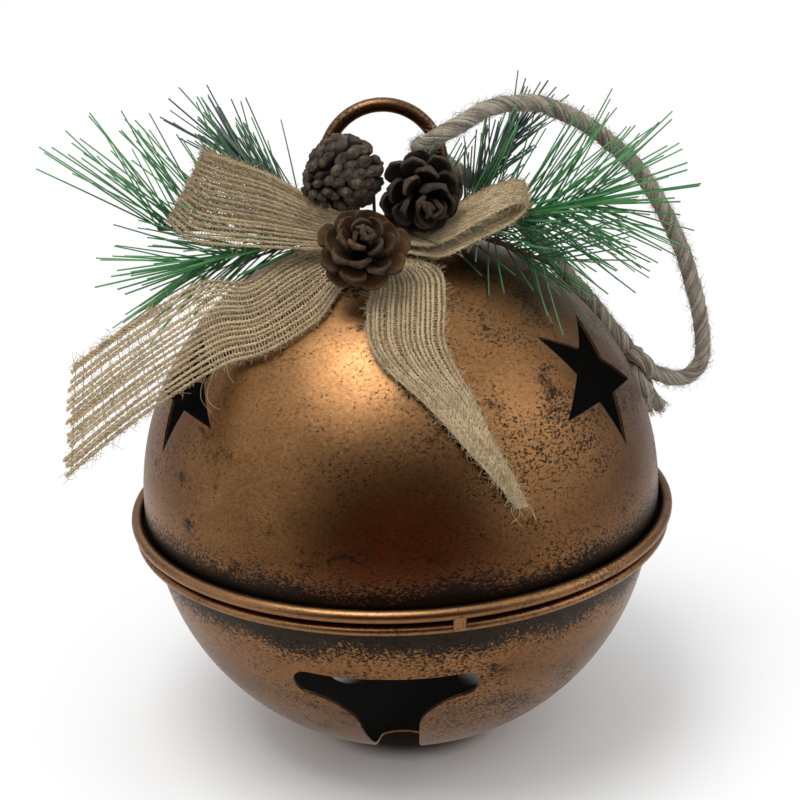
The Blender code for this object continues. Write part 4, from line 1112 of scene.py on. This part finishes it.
def coneTree():
    tree, ids, source, end = growGroup("scalesOnCone", {
        "Scale": "Object", "Count": 50, "Radius": 0.017, "Length": 0.034, "Base Tilt": 80.0, "Tip Tilt": 28.0,
        "Scale Width": 0.4, "Swell Start": 0.4, "Swell Span": 0.55, "Low End": -0.2, "Seed": 1,
        "Material": "Material",
    })
    index = give("GeometryNodeInputIndex")
    points = give("GeometryNodeMeshLine", {"Count": source["Count"], "Offset": (0, 0, 0)})
    share = sums("DIVIDE", sums("ADD", index, 0.5), source["Count"])
    # how far out the tip of each scale stands, and how far along the axis
    swell = most(sums("SINE", times(mad(share, source["Swell Span"], source["Swell Start"]), pi)), 0.05)
    out = times(source["Radius"], times(swell, draw(source, 0.94, 1.05, 0)))
    rise = mad(share, less(0.5, source["Low End"]), source["Low End"])
    tilt = mad(share, less(source["Tip Tilt"], source["Base Tilt"]), source["Base Tilt"])
    tilt = sums("RADIANS", sums("ADD", tilt, draw(source, -11.0, 11.0, 1)))
    reach = sums("DIVIDE", out, most(sums("SINE", tilt), 0.30))
    height = less(times(source["Length"], rise), times(reach, sums("COSINE", tilt)))
    twist = draw(source, -0.32, 0.32, 2)
    spin = mad(twist, 0.5, times(index, goldenAngle))
    half = times(times(source["Radius"], source["Scale Width"]), mad(swell, 0.50, 0.54))
    laid = give("GeometryNodeInstanceOnPoints", {
        "Points": give("GeometryNodeSetPosition", {"Geometry": points, "Position": combine(z=height)}),
        "Instance": shapeOf(source["Scale"]), "Scale": combine(half, reach, half),
        "Rotation": give("FunctionNodeEulerToRotation", {0: combine(less(pi / 2, tilt), twist, spin)}),
    })
    laid = store(laid, "scaleTone", draw(source, 0.0, 1.0, 3), domain="INSTANCE")
    both = put("GeometryNodeJoinGeometry")
    for part in (laid, source["Geometry"]):
        tree.links.new(part, both.inputs[0])
    endTree(both.outputs[0], source["Material"], end)
    return tree, ids


def coneMaterial(name, look):
    material, shader, place = newMaterial(name)
    along, rim = mark("along"), mark("rim")
    grain = noise(place, 300.0, 8.0, 0.75)
    patch = noise(place, 120.0, 3.0)
    # towards the base of each scale the colour goes to the darkest one: painted shade where the scales
    # overlap
    back = mixColour(remap(along, 0.40, 0.92), look.root, look.back)
    face = mixColour(remap(along, 0.42, 0.85), look.root, look.inside)
    colour = mixColour(mark("innerFace"), back, face)
    colour = mixColour(times(remap(rim, look.rimFrom, 1.0), remap(grain, 0.36, 0.60)), colour, look.tip)
    worn = times(times(remap(rim, 0.4, 1.0), remap(grain, 0.54, 0.66)), 0.55)
    colour = mixColour(worn, colour, look.worn)
    # random dark patches, in the same darkest colour
    colour = mixColour(times(remap(patch, 0.42, 0.70), 0.5), colour, look.root)
    shade = mixColour(mark("scaleTone"), (0.62, 0.62, 0.62), (1.12, 1.10, 1.06))
    plug(shader.inputs, {
        "Base Color": mixColour(1.0, colour, shade, "MULTIPLY"), "Specular IOR Level": 0.3,
        "Roughness": remap(grain, 0.2, 0.8, 0.62, 0.9), "Normal": bump(1.0, 0.0016, grain),
    })
    return material


def coneCore(name, radius, length):  # the woody core, in the cone's own frame
    bm = bmesh.new()
    for v in bmesh.ops.create_uvsphere(bm, u_segments=14, v_segments=10, radius=1.0)["verts"]:
        v.co = (v.co.x * radius, v.co.y * radius, v.co.z * length * 0.62)
    mesh = toMesh(name, bm)
    # the core takes the darkest colour: painted shade deep inside the cone
    addMarks(mesh, along=[0.15] * len(mesh.vertices)).shade_smooth()
    return mesh


coneGrower = coneTree()
blockers = []
for name, facts in cones.items():
    look = SimpleNamespace(**facts)
    radius, length = look.radius * mm, look.length * mm
    petal = (knobScale if look.shape == "knob" else spoonScale)(name + "Scale")
    cone = grow(name, coneCore(name + "Core", radius * look.core, length * look.core), coneGrower, {
        "Scale": petal, "Count": look.scales, "Radius": radius, "Length": length, "Base Tilt": look.tilts[0],
        "Tip Tilt": look.tilts[1], "Scale Width": look.width, "Swell Start": look.swell[0],
        "Swell Span": look.swell[1], "Low End": look.lowEnd, "Seed": look.seed,
        "Material": coneMaterial(name + "Bark", look),
    })
    drop(petal)
    axis = Vector(look.axis).normalized()
    middle = byCrown(*look.middle)
    cone.data.transform(Matrix.Translation(middle) @ axis.to_track_quat("Z", "Y").to_matrix().to_4x4())
    finishPiece(cone, "pine_cone", look.node)
    line = smoothLine([middle - axis * length * 0.3] + [byCrown(*p) for p in look.pick], 24)
    rodPiece(name + "Pick", line, wire.pick, floristWire, 8, "florist_wire")
    blockers.append(cone)
    print(name, len(cone.data.polygons), "faces")

# pine sprigs: cut film needles set round wrapped wire stems
# each sprig picks one set of needle colours: bright green, a darker mid green for the low right sprig, and a
# dull grey-teal for the two rear sprigs
sprigs = {
    "LeftRear": {
        "node": "left_rear", "row": 1, "side": -1, "places": ((-46, 3, 12), (-68, 24, 32)), "bare": 0.30,
        "count": 130, "length": 46.0, "rise": -1.0, "leans": (26.0, 16.0), "finish": "dark", "seed": 31,
    },
    "Left": {
        "node": "left", "row": 0, "side": -1, "places": ((-60, -2, 3), (-104, 4, 4)), "bare": 0.42,
        "count": 250, "length": 63.0, "rise": 0.50, "leans": (64.0, 50.0), "finish": "bright", "seed": 32,
    },
    "LeftLow": {
        "node": "left_low", "row": -1, "side": -1, "places": ((-50, -8, -2), (-86, -10, -10)), "bare": 0.36,
        "count": 120, "length": 52.0, "rise": -1.0, "leans": (46.0, 26.0), "finish": "bright", "seed": 33,
    },
    "RightRear": {
        "node": "right_rear", "row": 1, "side": 1, "places": ((40, 6, 18), (56, 22, 37)), "bare": 0.30,
        "count": 130, "length": 35.0, "rise": -1.0, "leans": (30.0, 20.0), "finish": "dark", "seed": 34,
    },
    "Right": {
        "node": "right", "row": 0, "side": 1, "places": ((56, -1, 6), (89, 3, 10)), "bare": 0.42,
        "count": 190, "length": 58.0, "rise": -1.0, "leans": (66.0, 38.0), "finish": "bright", "seed": 35,
    },
    "RightLow": {
        "node": "right_low", "row": -1, "side": 1, "places": ((42, -18, -1), (66, -30, -10)), "bare": 0.10,
        "count": 130, "length": 47.0, "rise": -1.0, "leans": (66.0, 44.0), "finish": "mid", "seed": 36,
    },
}
needle = {"width": 0.00045, "bend": 2.5, "section": ((-1.0, -0.5), (1.0, -0.5), (0.0, 0.9)), "stemSteps": 60}


def needleObject():  # a flat three-sided strip along +Z, unit long, a little bent
    rows = []
    shares = (0.0, 0.2, 0.4, 0.6, 0.8, 1.0)
    for t in shares:
        taper = 1.0 - 0.2 * t * t
        rows.append([(x * taper, y * taper + needle["bend"] * t * t, t) for x, y in needle["section"]])
    mesh = rowsMesh("needle", rows)
    return addObject("needle", addMarks(mesh, along=[t for t in shares for corner in needle["section"]]))


def needleTree():
    tree, ids, source, end = growGroup("needlesOnStem", {
        "Needle": "Object", "Blocker": "Object", "Count": 100, "Length": 0.06, "Width": 0.0005,
        "Base Lean": 60.0, "Tip Lean": 12.0, "Least Rise": 0.0, "Seed": 1, "Material": "Material",
    })
    curve = give("GeometryNodeMeshToCurve", {"Mesh": source["Geometry"]})
    inputs = {"Curve": curve, "Count": source["Count"]}
    spread = put("GeometryNodeCurveToPoints", inputs, mode="COUNT").outputs
    index = give("GeometryNodeInputIndex")
    share = sums("DIVIDE", index, source["Count"])
    lean = mad(share, less(source["Tip Lean"], source["Base Lean"]), source["Base Lean"])
    lean = sums("RADIANS", sums("ADD", lean, draw(source, -9.0, 9.0, 0)))
    spin = sums("ADD", times(index, goldenAngle), draw(source, -0.5, 0.5, 1))
    turn = spread["Rotation"]
    for axis, angle in (((0, 0, 1), spin), ((1, 0, 0), lean)):
        by = give("FunctionNodeAxisAngleToRotation", {"Axis": axis, "Angle": angle})
        turn = give("FunctionNodeRotateRotation", {0: turn, 1: by}, rotation_space="LOCAL")
    size = times(source["Length"], draw(source, 0.72, 1.04, 2))
    way = give("FunctionNodeRotateVector", {0: (0, 0, 1), 1: turn})
    kept = store(spread["Points"], "needleTurn", turn, "QUATERNION")
    kept = store(kept, "needleSize", size)
    kept = store(kept, "needleTone", draw(source, 0.0, 1.0, 3))
    # a needle that would run into the bell or another piece, or point too low, is left out
    lifted = give("ShaderNodeVectorMath", {
        0: way, 1: (0.003, 0.003, 0.003), 2: give("GeometryNodeInputPosition"),
    }, operation="MULTIPLY_ADD")
    hit = give("GeometryNodeRaycast", {
        "Target Geometry": shapeOf(source["Blocker"]), "Source Position": lifted, "Ray Direction": way,
        "Ray Length": size,
    }, "Is Hit")
    gone = most(sums("LESS_THAN", split(way)[2], source["Least Rise"]), hit)
    laid = give("GeometryNodeInstanceOnPoints", {
        "Points": give("GeometryNodeDeleteGeometry", {"Geometry": kept, "Selection": gone}, domain="POINT"),
        "Instance": shapeOf(source["Needle"]), "Rotation": stored("needleTurn", "QUATERNION"),
        "Scale": combine(source["Width"], source["Width"], stored("needleSize")),
    })
    endTree(laid, source["Material"], end)
    return tree, ids


def needleMaterial(name, bright, dark, tip):
    material, shader, place = newMaterial(name)
    streak = noise(place, 260.0, 3.0)
    colour = mixColour(remap(mark("needleTone"), 0.1, 0.95), dark, bright)
    colour = mixColour(times(remap(streak, 0.3, 0.7), 0.35), colour, dark)
    colour = mixColour(times(remap(mark("along"), 0.35, 1.0), 0.45), colour, tip)
    rough = remap(streak, 0.3, 0.7, 0.36, 0.52)
    plug(shader.inputs, {"Base Color": colour, "Roughness": rough, "Specular IOR Level": 0.4})
    return material


needleGrower = needleTree()
needleColours = {  # bright, dark and at the tip
    "bright": ((0.070, 0.270, 0.080), (0.024, 0.125, 0.036), (0.125, 0.330, 0.140)),
    "mid": ((0.045, 0.160, 0.062), (0.014, 0.060, 0.026), (0.085, 0.225, 0.110)),
    "dark": ((0.045, 0.082, 0.062), (0.014, 0.028, 0.023), (0.085, 0.135, 0.110)),
}
needleLooks = {kind: needleMaterial(kind + "Needles", *colours) for kind, colours in needleColours.items()}


def stemLine(sprig):
    y, z = bundlePlace(sprig.row, sprig.side)
    reach = sprig.side * (arch.halfWidth + wire.straight)
    line = [vec(reach * s, y, apex + z) for s in (-0.375, 0.0, 0.375, 0.6875, 1.0)]
    places = [byCrown(*p) for p in sprig.places]
    return smoothLine(line + [line[-1].lerp(places[0], 0.15)] + places, needle["stemSteps"] + 1)


def makeSprigs():
    others = "bowLoopLeft", "bowLoopRight", "bowTails", "hangerLoop", "hangingRope"
    solid = [upperShell] + blockers + [bpy.data.objects[name] for name in others]
    barrier = addObject("needleBlocker", joined("needleBlocker", [obj.data for obj in solid]))
    strip = needleObject()
    steps = needle["stemSteps"]
    stems, nodes = [], []
    for name, facts in sprigs.items():
        sprig = SimpleNamespace(**facts)
        line = stemLine(sprig)
        stems.append((line, [wire.stem / 2 * (1 - 0.25 * i / steps) for i in range(steps + 1)], 0.5))
        nodes.append("pine_stem_" + sprig.node)
        leafy = line[int(steps * sprig.bare):]
        mesh = bpy.data.meshes.new(name)
        mesh.from_pydata([tuple(p) for p in leafy], [(i, i + 1) for i in range(len(leafy) - 1)], [])
        tuft = grow("pineSprig" + name, mesh, needleGrower, {
            "Needle": strip, "Blocker": barrier, "Count": sprig.count, "Length": sprig.length * mm,
            "Width": needle["width"], "Base Lean": sprig.leans[0], "Tip Lean": sprig.leans[1],
            "Least Rise": sprig.rise, "Seed": sprig.seed, "Material": needleLooks[sprig.finish],
        })
        slotName = "pine_green" if sprig.finish == "bright" else "pine_dark"
        finishPiece(tuft, slotName, "pine_sprig_" + sprig.node)
        print("pineSprig" + name, len(tuft.data.polygons) // len(strip.data.polygons), "needles")
    finishPiece(growTubes("pineStems", stems, stemPaper, 10), "stem_brown", *nodes)
    drop(barrier, strip)


makeSprigs()
print("greenery set")

# floor, light and camera; the floor has a dark patch under the bell, a painted contact shadow; a lamp has its
# azimuth, elevation, distance, size and power
studio = {
    "floorSize": 6.0, "floor": (0.90, 0.90, 0.90), "fade": (0.10, 0.32), "shade": (0.075, 0.060, 0.050),
    "paintedShadowAt": (0.0, -0.004, 0.0), "paintedShadowEdge": (0.034, 0.050), "world": 0.82, "aim": (0, 0, 0.15),
    "lamps": {"keyLamp": (-38.0, 68.0, 1.35, 0.74, 9.9), "fillLamp": (70.0, 35.0, 1.8, 0.9, 3.0)},
    "lens": 58.5, "sensor": 36.0, "cameraAt": (0.00107, -0.57148, 0.35828),
    "cameraRight": (0.99929, -0.01232, -0.03568), "cameraUp": (0.03775, 0.32618, 0.94455),
}
room = {
    "plain": (0.060, 0.045, 0.034), "warm": (0.175, 0.027, 0.011), "walls": (0.42, 0.39, 0.40),
    "paintedTableShadow": (0.38, 0.34, 0.31), "table": (0.92, 0.85, 0.81), "tableFar": (0.52, 0.48, 0.47),
    "corners": [
        (-1.05, -1.2, 0.002), (1.05, -1.2, 0.002), (1.05, -1.2, 1.20), (-1.05, -1.2, 1.20),
        (-0.34, -0.30, 0.002), (0.34, -0.30, 0.002),
        (-1.3, 0.15, 0.0), (1.3, 0.15, 0.0), (1.3, 1.3, 0.0), (-1.3, 1.3, 0.0),
        (-1.3, 0.15, 1.0), (1.3, 0.15, 1.0), (1.3, 1.3, 1.0), (-1.3, 1.3, 1.0),
        (-1.3, -1.2, 0.001), (1.3, -1.2, 0.001), (1.3, 1.3, 0.001), (-1.3, 1.3, 0.001),
    ],
    "cards": [(0, 1, 2, 3), (4, 5, 1, 0), (7, 8, 12, 11), (8, 9, 13, 12), (9, 6, 10, 13), (14, 15, 16, 17)],
}


def faceMesh(name, corners, faces):
    mesh = bpy.data.meshes.new(name)
    mesh.from_pydata(corners, [], faces)
    return mesh


def seenRay():  # 1 for what the camera sees, also in mirrors and through glass
    ray = put("ShaderNodeLightPath").outputs
    return most(ray["Is Camera Ray"], ray["Is Glossy Ray"], ray["Is Transmission Ray"])


def glow(colour):
    return give("ShaderNodeEmission", {"Color": colour, "Strength": 1.0})


def makeFloor():
    s = studio["floorSize"] / 2
    material, shader, place = newMaterial("paleFloor")
    # a dark patch painted on the floor under the bell: a painted contact shadow, seen through the slots of
    # the bell
    clearOfPaintedShadow = remap(distance(place, studio["paintedShadowAt"]), *studio["paintedShadowEdge"])
    pale = mixColour(clearOfPaintedShadow, studio["shade"], studio["floor"])
    plug(shader.inputs, {"Base Color": pale, "Roughness": 0.9, "Specular IOR Level": 0.0})
    white = times(remap(distance(place), *studio["fade"]), seenRay())
    mixed = give("ShaderNodeMixShader", {0: white, 1: shader.outputs[0], 2: glow((1, 1, 1))})
    plug(material.node_tree.nodes["Material Output"].inputs, {"Surface": mixed})
    corners = [(-s, -s, 0), (s, -s, 0), (s, s, 0), (-s, s, 0)]
    return addObject("floor", faceMesh("floor", corners, [(0, 1, 2, 3)]), material)


def makeRoom():  # cards that only the copper mirrors: a dim room in front, grey walls behind and a grey table
    material, _, place = newMaterial("dimRoom")
    x, y, z = split(place)
    warm = times(remap(z, 0.02, 0.62, 1.0, 0.0), remap(sums("ABSOLUTE", x), 0.15, 0.65, 1.0, 0.0))
    colour = mixColour(warm, room["plain"], room["warm"])
    colour = mixColour(remap(y, -0.6, 0.1), colour, room["walls"])
    away = distance(place)
    # the table darkens near the bell: a painted contact shadow, which the copper mirrors
    table = mixColour(remap(away, 0.05, 0.20), room["paintedTableShadow"], room["table"])
    table = mixColour(remap(away, 0.30, 0.65), table, room["tableFar"])
    colour = mixColour(sums("LESS_THAN", z, 0.0015), colour, table)
    plug(material.node_tree.nodes["Material Output"].inputs, {"Surface": glow(colour)})
    card = addObject("dimRoom", faceMesh("dimRoom", room["corners"], room["cards"]), material)
    for way in ("camera", "diffuse", "shadow", "transmission"):
        setattr(card, "visible_" + way, False)
    return card


def makeLight():
    for name, (azimuth, elevation, far, size, power) in studio["lamps"].items():
        data = bpy.data.lights.new(name, "AREA")
        data.shape = "DISK"
        data.size = size
        data.energy = power
        away = heading(azimuth, elevation) * far
        turn = away.to_track_quat("Z", "Y").to_matrix().to_4x4()
        addObject(name, data).matrix_world = Matrix.Translation(Vector(studio["aim"]) + away) @ turn
    world = bpy.data.worlds.new("studio")
    bpy.context.scene.world = world
    world.use_nodes = True
    hand["tree"] = world.node_tree
    strength = remap(seenRay(), 0.0, 1.0, studio["world"], 1.0)
    plug(world.node_tree.nodes["Background"].inputs, {"Color": (1, 1, 1), "Strength": strength})
    bpy.context.scene.view_settings.view_transform = "Standard"


def makeCamera():
    data = bpy.data.cameras.new("photoCamera")
    data.lens = studio["lens"]
    data.sensor_width = studio["sensor"]
    data.clip_start = 0.01
    right = Vector(studio["cameraRight"]).normalized()
    up = Vector(studio["cameraUp"])
    up = (up - right * up.dot(right)).normalized()
    turn = Matrix((right, up, right.cross(up))).transposed().to_4x4()
    camera = addObject("photoCamera", data)
    camera.matrix_world = Matrix.Translation(studio["cameraAt"]) @ turn
    bpy.context.scene.camera = camera


makeFloor()
makeRoom()
makeLight()
makeCamera()
print("stage set")
